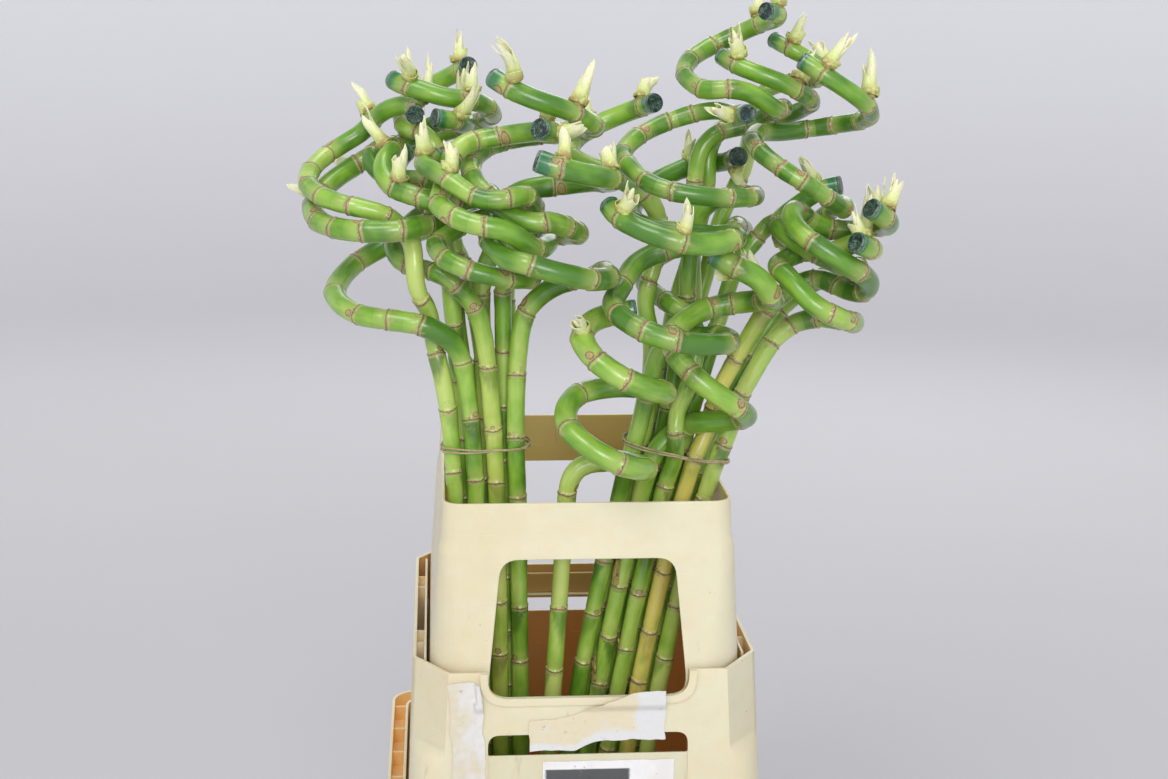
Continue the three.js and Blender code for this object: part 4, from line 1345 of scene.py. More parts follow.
class Planting:
    """All stalks' routes, joints and shoots, laid out by the solids' rule."""

    def __init__(self) -> None:
        """Lay out the routes, ease them apart and place joints and shoots."""
        self.routes = [Route(row, bundle.tilt) for bundle in BUNDLES for row in bundle.rows]
        Easing(self.routes).run()
        draw = EvenDraw(SEED)
        self.nodes = [self.node_distances(route, draw) for route in self.routes]
        self.shoots: list[list[Shoot]] = []
        for route, nodes in zip(self.routes, self.nodes):
            self.shoots.append(self.place_shoots(route, nodes, draw))

    @staticmethod
    def node_distances(route: Route, draw: EvenDraw) -> list[float]:
        """Joints of a stalk, counted down from its cut top.

        Args:
            route: The stalk's route.
            draw: Random numbers.

        Returns:
            Their distances along the route.
        """
        distances, distance = [], route.length - FIRST_NODE
        while distance > STEP:
            distances.append(distance)
            distance -= INTERNODE[0] + (INTERNODE[1] - INTERNODE[0]) * draw.next()
        return distances

    def room(self, shoot: Shoot, own: Route, distance: float, besides: Shoot | None = None) -> float:
        """Room round a shoot, apart from the stretch that it grows from.

        Args:
            shoot: The shoot.
            own: The route that it grows on.
            distance: Where on the route.
            besides: A shoot that doesn't count.

        Returns:
            The gap to the nearest stalk or shoot.
        """
        room = math.inf
        for other in self.routes:
            keep = np.ones(len(other.points), bool)
            if other is own:
                keep = np.abs(other.lengths - distance) >= SELF_REACH / 2
            radius = other.radius_at(np.arange(len(other.points)))[keep]
            for probe in shoot.probes():
                room = min(room, float((np.linalg.norm(other.points[keep] - probe, axis=1) - radius).min()))
        for placed in (s for group in self.shoots + [self.own] for s in group if s is not besides):
            for probe in shoot.probes():
                for place in (placed.root, placed.middle, placed.end):
                    room = min(room, float(np.linalg.norm(probe - place)) - SHOOT_RADIUS)
        return room - SHOOT_RADIUS

    def place_shoots(self, route: Route, nodes: list[float], draw: EvenDraw) -> list[Shoot]:
        """The shoots of one stalk, at its top joints and where there is room.

        Args:
            route: The stalk's route.
            nodes: Distances of its joints.
            draw: Random numbers.

        Returns:
            The shoots that fit.
        """
        self.own: list[Shoot] = []
        for distance in nodes[:SHOOT_NODES]:
            station = route.station(distance)
            length = SHOOT_LENGTH[0] + (SHOOT_LENGTH[1] - SHOOT_LENGTH[0]) * draw.next()
            side = unit(np.cross([0.0, 0.0, 1.0], station.way))
            top = np.cross(station.way, side)
            best, best_score = None, SHOOT_ROOM
            for k in range(SHOOT_DIRECTIONS):
                angle = k / SHOOT_DIRECTIONS * 2 * math.pi
                outward = side * math.cos(angle) + top * math.sin(angle)
                shoot = Shoot(station, outward, length)
                room = min(self.room(shoot, route, distance), length / 3)
                score = room * (1 + outward[2] / 4)
                if score > best_score:
                    best, best_score = shoot, score
            if best:
                self.own.append(best)
        return self.own

    def vary(self) -> None:
        """Make the higher curls slimmer, with their joints closer together."""
        rng = np.random.default_rng(SEED * 7)
        for route, nodes in zip(self.routes, self.nodes):
            curl = route.points[route.crown_index :]
            slimness = np.interp(curl[:, 2].mean(), (600, 800), (1.05, 0.84))
            route.girth = float(slimness * rng.uniform(0.95, 1.04))
            crown = float(route.lengths[route.crown_index])
            for upper, lower in list(zip(nodes[1:-1], nodes[2:])):
                if lower > crown and rng.uniform() < np.interp(route.girth, (0.82, 1.05), (1.0, 0.25)):
                    nodes.append(lower + (upper - lower) * rng.uniform(0.42, 0.58))

    def grow(self) -> None:
        """Let each shoot lean and lengthen its own way, as far as there is room."""
        rng = np.random.default_rng(SEED * 3)
        self.own = []
        for route, group in zip(self.routes, self.shoots):
            for k, shoot in enumerate(group):
                nearest = np.linalg.norm(route.points - shoot.root, axis=1).argmin()
                distance = float(route.lengths[nearest])
                growth = rng.uniform(0.85, 1.7)
                for _ in range(12):
                    grown = shoot.grown(growth, rng.normal(0, 0.5, 3))
                    if self.room(grown, route, distance, shoot) > 1.5:
                        group[k] = grown
                        break
                    growth *= 0.94


# Building the plant


@dataclass
class StalkMaker:
    """Builds the round stems with their joints, eyes and scars.

    Attributes:
        skin: The stems' material.
        sides: Points round a ring.
        curl_pitch: Distance between rings in a curl.
        stem_pitch: Distance between rings on a straight stem.
        hidden_pitch: Distance between rings below the collars' slots.
        hidden_height: Height under which a stem is hardly seen.
        ledge: How far a joint's ledge stands out.
        waist: How far the stem draws in above a joint.
        swelling: How far it swells below a joint.
        kink: How far the stem runs straight from joint to joint.
        oval: How far a ring is from round.
        eye_height: How far an eye stands out.
        eye_share: How many joints have an eye, on the straight part and in the curl.
        joint_room: How far from a joint its own rings take over.
        least_pitch: The least distance between rings.
        seen_offsets: Rings at a joint, from its own place.
        hidden_offsets: The same for a joint that is hardly seen.
        far: The longest distance that is kept for the skin.
    """

    skin: Material
    sides: int = 24
    curl_pitch: float = 3.6
    stem_pitch: float = 6.0
    hidden_pitch: float = 24.0
    hidden_height: float = 250.0
    ledge: float = 0.5
    waist: float = 0.32
    swelling: float = 0.3
    kink: float = 0.2
    oval: float = 0.018
    eye_height: float = 0.4
    eye_share: tuple = (0.45, 0.65)
    joint_room: float = 7.9
    least_pitch: float = 0.15
    far: float = 20.0
    seen_offsets: tuple = (-7.5, -5.2, -3.6, -2.4, -1.5, -0.9, -0.4, 0.1, 0.6, 1.1, 1.8, 2.8, 4.2, 6.4)
    hidden_offsets: tuple = (-3.0, -1.0, 0.0, 1.0, 3.0)

    def ring_distances(self, route: Route, nodes: Vec) -> Vec:
        """Where rings go: close together at joints, evenly between them.

        Args:
            route: The stalk's route.
            nodes: Distances of its joints.

        Returns:
            Distances of the rings.
        """
        wanted, distance = [0.0], 0.0
        straight = float(route.lengths[route.crown_index]) - 10
        while distance < route.length:
            z = np.interp(distance, route.lengths, route.points[:, 2])
            pitch = self.stem_pitch if distance < straight else self.curl_pitch
            distance += self.hidden_pitch if z < self.hidden_height else pitch
            wanted.append(distance)
        even = np.array([d for d in wanted if d < route.length - 1.0])
        clear = np.abs(even[:, None] - nodes[None, :]).min(1) > self.joint_room
        rings = list(even[clear | (even == 0.0)])
        for node in nodes:
            z = np.interp(node, route.lengths, route.points[:, 2])
            offsets = self.seen_offsets if z > self.hidden_height else self.hidden_offsets
            rings += [node + offset for offset in offsets]
        rings += [route.length - 0.8, route.length]
        rings = np.array(sorted(r for r in rings if 0.0 <= r <= route.length))
        return rings[np.concatenate([[True], np.diff(rings) > self.least_pitch])]

    @staticmethod
    def frames(ways: Vec) -> tuple[Vec, Vec]:
        """Two directions across each ring, carried along without twist.

        Args:
            ways: The direction along the stalk at each ring.

        Returns:
            Both directions for each ring.
        """
        across = np.array([1.0, 0.0, 0.0])
        firsts = []
        for way in ways:
            across = unit(across - way * across.dot(way))
            firsts.append(across)
        first = np.array(firsts)
        return first, np.cross(ways, first)

    @staticmethod
    def patches(
        rings: Vec, joints: Vec, gap: Vec, phi: Vec, straight: Vec, rng: np.random.Generator
    ) -> Vec:
        """Dark tongues that hang down from under each joint.

        Args:
            rings: Distances of the rings.
            joints: Distances of the joints.
            gap: Distance of each point above its nearest joint.
            phi: Angles round a ring.
            straight: Which joints are on the straight part.
            rng: Random numbers.

        Returns:
            How dark each point is, 0 to 1.
        """
        count = len(joints) + 1
        level = np.append(straight, False)
        reach = np.where(level, rng.uniform(18, 34, count), rng.uniform(6, 16, count))
        depth = np.where(level, rng.uniform(0.4, 1.0, count), rng.uniform(0.15, 0.7, count))
        heading = rng.uniform(0, 2 * math.pi, count)
        nearest = np.abs(rings[:, None] - joints[None, :]).argmin(1)
        over = nearest[:, None] + (gap > 0)
        below = np.append(joints, 1e6)[over] - rings[:, None]
        below = np.where(gap > 0, below, -gap)
        tongue = 0.12 + 0.88 * np.clip(np.cos(phi[None, :] - heading[over]), 0, 1) ** 1.2
        return ease(1 - below / (reach[over] * tongue), 0.0, 0.45) * depth[over]

    def build(self, number: int, route: Route, nodes: list[float], gold: float) -> None:
        """Build one stem.

        Args:
            number: The stalk's number, from 1.
            route: Its route.
            nodes: Distances of its joints.
            gold: How yellow its straight part is, 0 to 1.
        """
        rng = np.random.default_rng(SEED + number)
        joints = np.array(sorted(nodes))
        rings = self.ring_distances(route, joints)
        centres, ways, radii = route.smooth_stations(rings)
        across, along = self.frames(ways)
        phi = np.linspace(0, 2 * math.pi, self.sides + 1)
        nearest = np.abs(rings[:, None] - joints[None, :]).argmin(1)
        stops = np.concatenate([[0.0], joints, [route.length]])
        chords = route.smooth_stations(stops)[0]
        chord = np.column_stack([np.interp(rings, stops, chords[:, k]) for k in range(3)])
        centres = centres + self.kink * (chord - centres)
        straight = joints < float(route.lengths[route.crown_index])

        wave = rng.uniform(0.25, 0.9, len(joints))
        turn = rng.uniform(0, 2 * math.pi, len(joints))
        ripple = wave[nearest, None] * np.cos(phi[None, :] - turn[nearest, None])
        ripple += 0.35 * np.cos(3 * phi[None, :] + turn[nearest, None])
        gap = (rings - joints[nearest])[:, None] - ripple

        bulk = rng.uniform(0.96, 1.03, len(joints))[nearest] * rng.uniform(0.98, 1.02)
        skip = max(1, len(rings) // 40)
        bulk = np.interp(rings, rings[::skip], bulk[::skip])
        oval = 1 + self.oval * np.cos(2 * phi[None, :] + rings[:, None] / 37 + number)
        size = radii[:, None] * bulk[:, None] * oval
        size = size + self.ledge * np.exp(-((gap / 0.95) ** 2))
        size = size - self.waist * np.exp(-(((gap - 2.6) / 1.7) ** 2))
        size = size + self.swelling * np.exp(-(((gap + 4.5) / 4.0) ** 2))

        count = len(joints)
        eye_side = rng.uniform(0, 2 * math.pi) + math.pi * np.arange(count) + rng.uniform(-0.5, 0.5, count)
        shown = rng.uniform(0, 1, count) < np.where(straight, *self.eye_share)
        eye_size = np.where(straight, rng.uniform(0.7, 1.1, count), rng.uniform(0.8, 1.75, count))
        eye_width = rng.uniform(0.75, 1.5, count)
        turned = np.angle(np.exp(1j * (phi[None, :] - eye_side[nearest, None])))
        rise = gap - 1.0 - 2.4 * eye_size[nearest, None]
        turned = turned * radii[:, None] / eye_width[nearest, None]
        bud = np.hypot(turned, rise * 1.1) / eye_size[nearest, None]
        bud = np.where(shown[nearest, None], bud, self.far)
        size = size + self.eye_height * np.exp(-((bud / 1.7) ** 2))

        size[0], size[-1] = size[1], size[-2]
        round_it = around(across[:, None], along[:, None], phi)
        ring_points = centres[:, None, :] + size[:, :, None] * round_it
        foot, head = (np.repeat(c[None, None, :], len(phi), 1) for c in (centres[0], centres[-1]))
        rows = np.concatenate([foot, ring_points, head])

        curled = np.clip((rings - route.lengths[route.crown_index]) / SWELL_LENGTH, 0, 1)
        own_tone = 1.3 * (rng.uniform(-0.5, 0.5) + rng.uniform(-0.5, 0.5, len(joints) + 1))
        tone = own_tone[nearest[:, None] + (gap > 0)] + 0.9 - 1.1 * curled[:, None]
        sealed_length = rng.uniform(0.8, 3.5)
        to_end = np.minimum(route.length - rings, 60.0)
        low_part = np.clip((60 - rings + route.lengths[route.crown_index]) / 120, 0, 1)
        fields = {
            "grain": stem_grain(radii[:, None], phi, (rings + number * 431.0)[:, None]),
            "joint_gap": gap,
            "joint_reach": np.minimum(np.abs(gap), self.far),
            "bud_gap": np.minimum(bud, self.far),
            "patch": self.patches(rings, joints, gap, phi, straight, rng),
            "end_gap": np.repeat(to_end[:, None] * sealed_length, len(phi), 1),
            "rim": np.repeat(to_end[:, None], len(phi), 1),
            "tone": tone,
            "gold": np.repeat(gold * low_part[:, None], len(phi), 1),
        }
        padded = {k: np.concatenate([v[:1], v, v[-1:]]) for k, v in fields.items()}
        piece = weave(f"bamboo_{number:02d}", rows, padded)
        shade_smooth(piece, 60)
        hand_over(piece, self.skin, SlotName.STALK, f"stalk_{number:02d}")


@dataclass
class WaxCapMaker:
    """Seals each cut top with a disc of wax, modelled once and copied."""

    skin: Material
    sides: int = 24
    profile: tuple = (
        (0.0, 0.0), (0.9, 0.0), (0.97, 0.5), (0.985, 1.2), (0.95, 1.8),
        (0.86, 2.15), (0.74, 2.1), (0.6, 1.85), (0.4, 1.7), (0.2, 1.65), (0.0, 1.65),
    )

    def model(self) -> Piece:
        """The disc at the origin, of radius one across and in millimetres along Z.

        Returns:
            The disc.
        """
        phi = np.linspace(0, 2 * math.pi, self.sides + 1)
        rows = np.array([[(r * math.cos(a), r * math.sin(a), z) for a in phi] for r, z in self.profile])
        piece = weave("wax_model", rows / MM)
        shade_smooth(piece, 60)
        return piece

    def build(self, model: Piece, number: int, route: Route) -> None:
        """Copy the disc to the end of one stalk.

        Args:
            model: The disc.
            number: The stalk's number.
            route: Its route.
        """
        piece = model.copy()
        piece.data = model.data.copy()
        bpy.context.scene.collection.objects.link(piece)
        piece.name = piece.data.name = f"wax_cap_{number:02d}"
        centres, ways, radii = route.smooth_stations(np.array([route.length]))
        way, radius = ways[0], float(radii[0])
        side = unit(np.cross([0.0, 0.0, 1.0], way))
        up = np.cross(way, side)
        local = points_of(piece.data)
        disc_points = local[:, :1] * side + local[:, 1:2] * up
        move_to(piece.data, centres[0] + radius * disc_points + local[:, 2:] * way)
        disc = local * [radius, radius, 1.0] / 10 + [number * 3.7, 0.0, 0.0]
        note(piece.data, "disc", disc)
        note(piece.data, "rim_gap", (1 - np.hypot(local[:, 0], local[:, 1])) * radius)
        piece.data.update()
        hand_over(piece, self.skin, SlotName.WAX, f"wax_{number:02d}")


class Tip(Enum):
    """How a leaf sheath ends."""

    POINTED = "pointed"
    FORKED = "forked"


@dataclass(frozen=True)
class SheathPlan:
    """One leaf sheath of a shoot.

    Attributes:
        reach: How far along the spine it ends, 0 to 1.
        size: Its width against the shoot's own.
        spin: Where its highest point is, in radians.
        flare: How far its tip stands away from the middle.
        tip: How it ends.
    """

    reach: float
    size: float
    spin: float
    flare: float
    tip: Tip


@dataclass
class ShootMaker:
    """Wraps each shoot in nested leaf sheaths."""

    skin: Material
    base_radius: float = 4.7
    wrap: float = 0.86
    layers: tuple = (1.14, 1.0, 0.8)
    layer_turn: float = 2.8
    forked_share: float = 0.25
    thickness: float = 0.55
    columns: int = 13
    levels: int = 9

    def sheath(self, shoot: Shoot, plan: SheathPlan, rng: np.random.Generator) -> Piece:
        """One sheath round the shoot's spine.

        Args:
            shoot: The shoot.
            plan: The sheath's form.
            rng: Random numbers for its grain.

        Returns:
            The thickened sheath.
        """
        angles = np.linspace(-1, 1, self.columns)
        if plan.tip is Tip.POINTED:
            top = 1 - 0.52 * np.abs(angles) ** 1.7 - 0.1 * np.abs(angles) ** 0.6
        else:
            top = 1 - 0.26 * np.abs(np.cos(angles * math.pi)) ** 1.4 - 0.34 * angles**4
        v = np.linspace(0, 1, self.levels)[:, None]
        t = np.clip(0.08 + (plan.reach - 0.08) * v * top[None, :], 0, 1)
        tt = t.ravel()
        centre, way = shoot.along(tt)
        side, other = shoot.across(way)
        phi = np.broadcast_to(angles[None, :] * (self.wrap * math.pi), t.shape).ravel() + plan.spin
        width = np.interp(tt, [0, 0.14, 0.3, 0.6, 1.0], [1.0, 1.16, 1.0, 0.8, 0.4])
        radius = self.base_radius * plan.size * width * (1 + 0.06 * np.cos(3 * phi))
        flare = (v * np.ones_like(t)).ravel() ** 2 * plan.flare
        middle = math.cos(plan.spin) * side + math.sin(plan.spin) * other
        place = centre + radius[:, None] * around(side, other, phi) + middle * flare[:, None]
        grain = stem_grain(radius, phi, tt * shoot.length)
        grain[:, 2] += rng.uniform(0, 50)
        fields = {"grain": grain, "along": tt}
        return weave_leaf("sheath", place.reshape(self.levels, self.columns, 3), fields, self.thickness)

    def core(self, shoot: Shoot) -> Piece:
        """The bud inside the sheaths, closed at both ends.

        Args:
            shoot: The shoot.

        Returns:
            The bud.
        """
        t = np.array([0.0, 0.02, 0.12, 0.3, 0.5, 0.68, 0.8, 0.86])
        size = np.array([0.0, 0.95, 1.05, 0.8, 0.6, 0.42, 0.22, 0.0]) * self.base_radius
        centre, way = shoot.along(t)
        side, other = shoot.across(way)
        phi = np.linspace(0, 2 * math.pi, self.columns)
        rows = centre[:, None] + size[:, None, None] * around(side[:, None], other[:, None], phi)
        grain = stem_grain(size[:, None], phi, (t * shoot.length)[:, None])
        return weave("core", rows, {"grain": grain, "along": np.repeat(t[:, None], self.columns, 1)})

    def build(self, number: int, shoots: list[Shoot]) -> None:
        """Build the shoots of one stalk as one piece.

        Args:
            number: The stalk's number.
            shoots: Its shoots.
        """
        rng = np.random.default_rng(SEED * 3 + number)
        pieces = []
        for shoot in shoots:
            pieces.append(self.core(shoot))
            spin = rng.uniform(0, 2 * math.pi)
            scale = rng.uniform(0.86, 1.15)
            reaches = (rng.uniform(0.22, 0.36), rng.uniform(0.5, 0.95), 1.0)
            for k, (reach, size) in enumerate(zip(reaches, self.layers)):
                tip = Tip.FORKED if rng.uniform() < self.forked_share else Tip.POINTED
                turned = spin + k * self.layer_turn + rng.uniform(-0.6, 0.6)
                flare = rng.uniform(0.5, 1.0) + 4.0 * reach * rng.uniform()
                pieces.append(self.sheath(shoot, SheathPlan(reach, size * scale, turned, flare, tip), rng))
        if pieces:
            piece = join(f"shoots_{number:02d}", pieces)
            shade_smooth(piece, 45)
            hand_over(piece, self.skin, SlotName.STALK)


@dataclass
class ScrapMaker:
    """Dry leaf sheath that still clings to some stems behind the front window."""

    skin: Material
    lowest: float = 325.0
    highest: float = 455.0
    thickness: float = 0.3
    levels: int = 12
    columns: int = 13

    def scrap(self, route: Route, joint: float, rng: np.random.Generator) -> Piece:
        """One torn sleeve that rises from a joint, open and peeling.

        Args:
            route: The stalk's route.
            joint: The joint's distance.
            rng: Random numbers.

        Returns:
            The sleeve.
        """
        v = np.linspace(0, 1, self.levels)[:, None]
        a = np.linspace(-1, 1, self.columns)[None, :]
        torn = 1 - 0.3 * np.abs(a) ** 1.6 - 0.34 * rng.uniform(0, 1, self.columns)[None, :]
        rise = rng.uniform(12, 40) * v * torn
        centre, way, radius = route.smooth_stations(joint + 0.4 + rise.ravel())
        across = units(np.array([1.0, 0.0, 0.0]) - way * way[:, :1])
        along = np.cross(way, across)
        heading = rng.uniform(-3.0, -2.1)
        phi = (a * rng.uniform(0.4, 0.6) * (1 - 0.6 * v)).ravel() + heading
        peel = (0.2 + rng.uniform(0.8, 2.4) * v**2 + 0.7 * v * a**2).ravel()
        size = radius + 0.35 + peel
        place = centre + size[:, None] * around(across, along, phi)
        fields = {"grain": stem_grain(STEM_RADIUS, phi, joint + rise.ravel())}
        return weave_leaf("scrap", place.reshape(self.levels, self.columns, 3), fields, self.thickness)

    def build(self, number: int, route: Route, nodes: list[float]) -> None:
        """The scraps of one stalk as one piece.

        Args:
            number: The stalk's number.
            route: Its route.
            nodes: Distances of its joints.
        """
        rng = np.random.default_rng(SEED * 5 + number)
        heights = np.interp(nodes, route.lengths, route.points[:, 2])
        joints = [n for n, z in zip(nodes, heights) if self.lowest < z < self.highest][::2]
        piece = join(f"dry_scraps_{number:02d}", [self.scrap(route, joint, rng) for joint in joints])
        shade_smooth(piece, 50)
        hand_over(piece, self.skin, SlotName.STALK)


@dataclass
class BandMaker:
    """Rubber strands round each bundle, where the solids' bands are."""

    skin: Material
    strand_radius: float = 0.75
    sides: int = 8
    inset: float = 0.7
    lift: float = 0.85

    def loop(self, node: str) -> Vec:
        """The middle of a band, evenly spaced, read from its node's box and corners.

        Args:
            node: The band's node.

        Returns:
            Places round the loop, the first one repeated at the end.
        """
        points = points_of(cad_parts[node].data) / MM
        middle = points[:, :2].mean(0)
        angle = np.arctan2(points[:, 1] - middle[1], points[:, 0] - middle[0])
        reach = np.hypot(points[:, 0] - middle[0], points[:, 1] - middle[1])
        level = np.column_stack([points[:, 0], np.ones(len(points))])
        slope = np.linalg.lstsq(level, points[:, 2], rcond=None)[0]
        order = np.argsort(angle)
        angle, reach = angle[order], reach[order]
        outer = np.array([reach[max(0, i - 6) : i + 7].max() for i in range(len(reach))])
        keep = reach > outer - 0.9
        even = np.linspace(-math.pi, math.pi, 97)
        wide = np.interp(even, angle[keep], reach[keep], period=2 * math.pi) - self.inset
        x, y = middle[0] + wide * np.cos(even), middle[1] + wide * np.sin(even)
        return np.column_stack([x, y, slope[0] * x + slope[1]])

    def strand(self, loop: Vec, lift: float, wander: float) -> Piece:
        """One strand round the loop.

        Args:
            loop: The band's middle.
            lift: How much higher it lies.
            wander: How far it rises and falls.

        Returns:
            The strand.
        """
        turn = np.linspace(0, 2 * math.pi, len(loop))
        path = loop + np.array([0, 0, 1.0]) * (lift + wander * np.sin(turn * 2 + 0.6))[:, None]
        way = np.roll(path[:-1], -1, 0) - np.roll(path[:-1], 1, 0)
        way = units(np.concatenate([way, way[:1]]))
        out = np.cross(way, [0, 0, 1.0])
        up = np.cross(out, way)
        phi = np.linspace(0, 2 * math.pi, self.sides + 1)
        rows = path[:, None] + self.strand_radius * around(out[:, None], up[:, None], phi)
        return weave("strand", rows)

    def build(self, node: str, name: str, wander: float) -> None:
        """Two strands side by side that stand for one band.

        Args:
            node: The band's node.
            name: The piece's name.
            wander: How far the strands part and cross.
        """
        loop = self.loop(node)
        piece = join(name, [self.strand(loop, side * self.lift, side * wander) for side in (1, -1)])
        shade_smooth(piece, 60)
        hand_over(piece, self.skin, SlotName.RUBBER, node)


# Building the container

# Half sizes, corner sizes, height and roundness
Level = tuple[tuple[float, float], tuple[float, float], float, float]


def ring(half: tuple, corner: tuple, height: float, roundness: float, steps: int = 9) -> Vec:
    """A level outline with its corners rounded, or cut straight where roundness is 0.

    Args:
        half: Half sizes across and front to back.
        corner: Corner sizes across and front to back.
        height: The outline's height.
        roundness: From 0, a straight cut, to 1, a round corner.
        steps: Faces at each corner.

    Returns:
        The outline's points, the first one repeated at the end.
    """
    points = []
    for quarter, (sx, sy) in enumerate([(1, 1), (-1, 1), (-1, -1), (1, -1)]):
        for i in range(steps + 1):
            t = i / steps if quarter % 2 == 0 else 1 - i / steps
            angle = t * math.pi / 2
            across = (1 - t) * (1 - roundness) + math.cos(angle) * roundness
            along = t * (1 - roundness) + math.sin(angle) * roundness
            x = sx * (half[0] - corner[0] + corner[0] * across)
            y = sy * (half[1] - corner[1] + corner[1] * along)
            points.append((x, y, height))
    return np.array(points + points[:1])


def inset(size: tuple, by: float) -> tuple:
    """Both sizes less the same amount."""
    return (size[0] - by, size[1] - by)


def window(half_low: float, half_high: float, low: float, high: float, radii: tuple[float, float]) -> Vec:
    """A four-sided outline in X and Z with rounded corners, its sides sloping.

    Args:
        half_low: Half width at the bottom.
        half_high: Half width at the top.
        low: The bottom's height.
        high: The top's height.
        radii: Corner sizes at the bottom and the top.

    Returns:
        The outline's points.
    """
    corners = np.array([(-half_low, low), (half_low, low), (half_high, high), (-half_high, high)], float)
    points = []
    for i, corner in enumerate(corners):
        radius = radii[0] if i < 2 else radii[1]
        before = corner + unit(corners[i - 1] - corner) * radius
        after = corner + unit(corners[(i + 1) % 4] - corner) * radius
        for t in np.linspace(0, 1, 8 if radius > 2 else 2):
            points.append((1 - t) ** 2 * before + 2 * t * (1 - t) * corner + t**2 * after)
    return np.array(points)


def refine(stations: list[Level], spread: float, extra: int = 2) -> list[Level]:
    """Stations with the bends between them rounded over a height.

    Args:
        stations: Half sizes, corner sizes, height and roundness, from the bottom up.
        spread: How far each bend is rounded, up and down.
        extra: Stations added on each side of a bend.

    Returns:
        More stations that follow the same form softly.
    """
    heights = [s[2] for s in stations]
    values = np.array([[*s[0], *s[1], s[3]] for s in stations])
    wanted = {heights[0], heights[-1]}
    for z in heights[1:-1]:
        for k in range(-extra, extra + 1):
            wanted.add(z + k * spread / extra)
    made = []
    for z in sorted(w for w in wanted if heights[0] <= w <= heights[-1]):
        reach = min(spread, z - heights[0], heights[-1] - z)
        probes = z + np.linspace(-1, 1, 9) * reach
        v = [float(np.mean(np.interp(probes, heights, values[:, c]))) for c in range(5)]
        made.append(((v[0], v[1]), (v[2], v[3]), z, v[4]))
    return made


@dataclass
class UpperCollar:
    """The tapered collar that holds the stems up, with a window front and back."""

    skin: Material
    bottom: tuple = (116.5, 152.0)
    seat: tuple = (114.4, 149.8)
    waist: tuple = (108.2, 142.0)
    step: tuple = (106.4, 141.0)
    rim: tuple = (105.0, 139.5)
    corner: float = 14.0
    window_halves: tuple = (73.6, 63.0)
    window_heights: tuple = (355.0, 460.0)
    window_corners: tuple = (19.0, 13.0)

    def build(self) -> None:
        """Shell, windows and softened edges."""
        round_corner = (self.corner, self.corner)
        stations = [
            (self.bottom, (32.0, 38.0), 337.1, 1.0),
            (self.seat, (28.0, 34.0), 383.0, 1.0),
            (self.waist, round_corner, 466.0, 1.0),
            (self.step, round_corner, 473.0, 1.0),
            (self.rim, round_corner, 501.5, 1.0),
        ]
        outside = refine(stations, 3.0)
        inner = [(inset(h, WALL), inset(c, WALL), z, r) for h, c, z, r in outside]
        rows = np.array([ring(*s) for s in outside + inner[::-1]] + [ring(*outside[0])])
        piece = weave("upper_collar_shell", rows)
        hole = window(*self.window_halves, *self.window_heights, self.window_corners)
        combine(piece, prism("hole", hole, -170.0, 170.0), "DIFFERENCE")
        soften(piece, 0.75, 3)
        hand_over(piece, self.skin, SlotName.PLASTIC, "upper_collar")


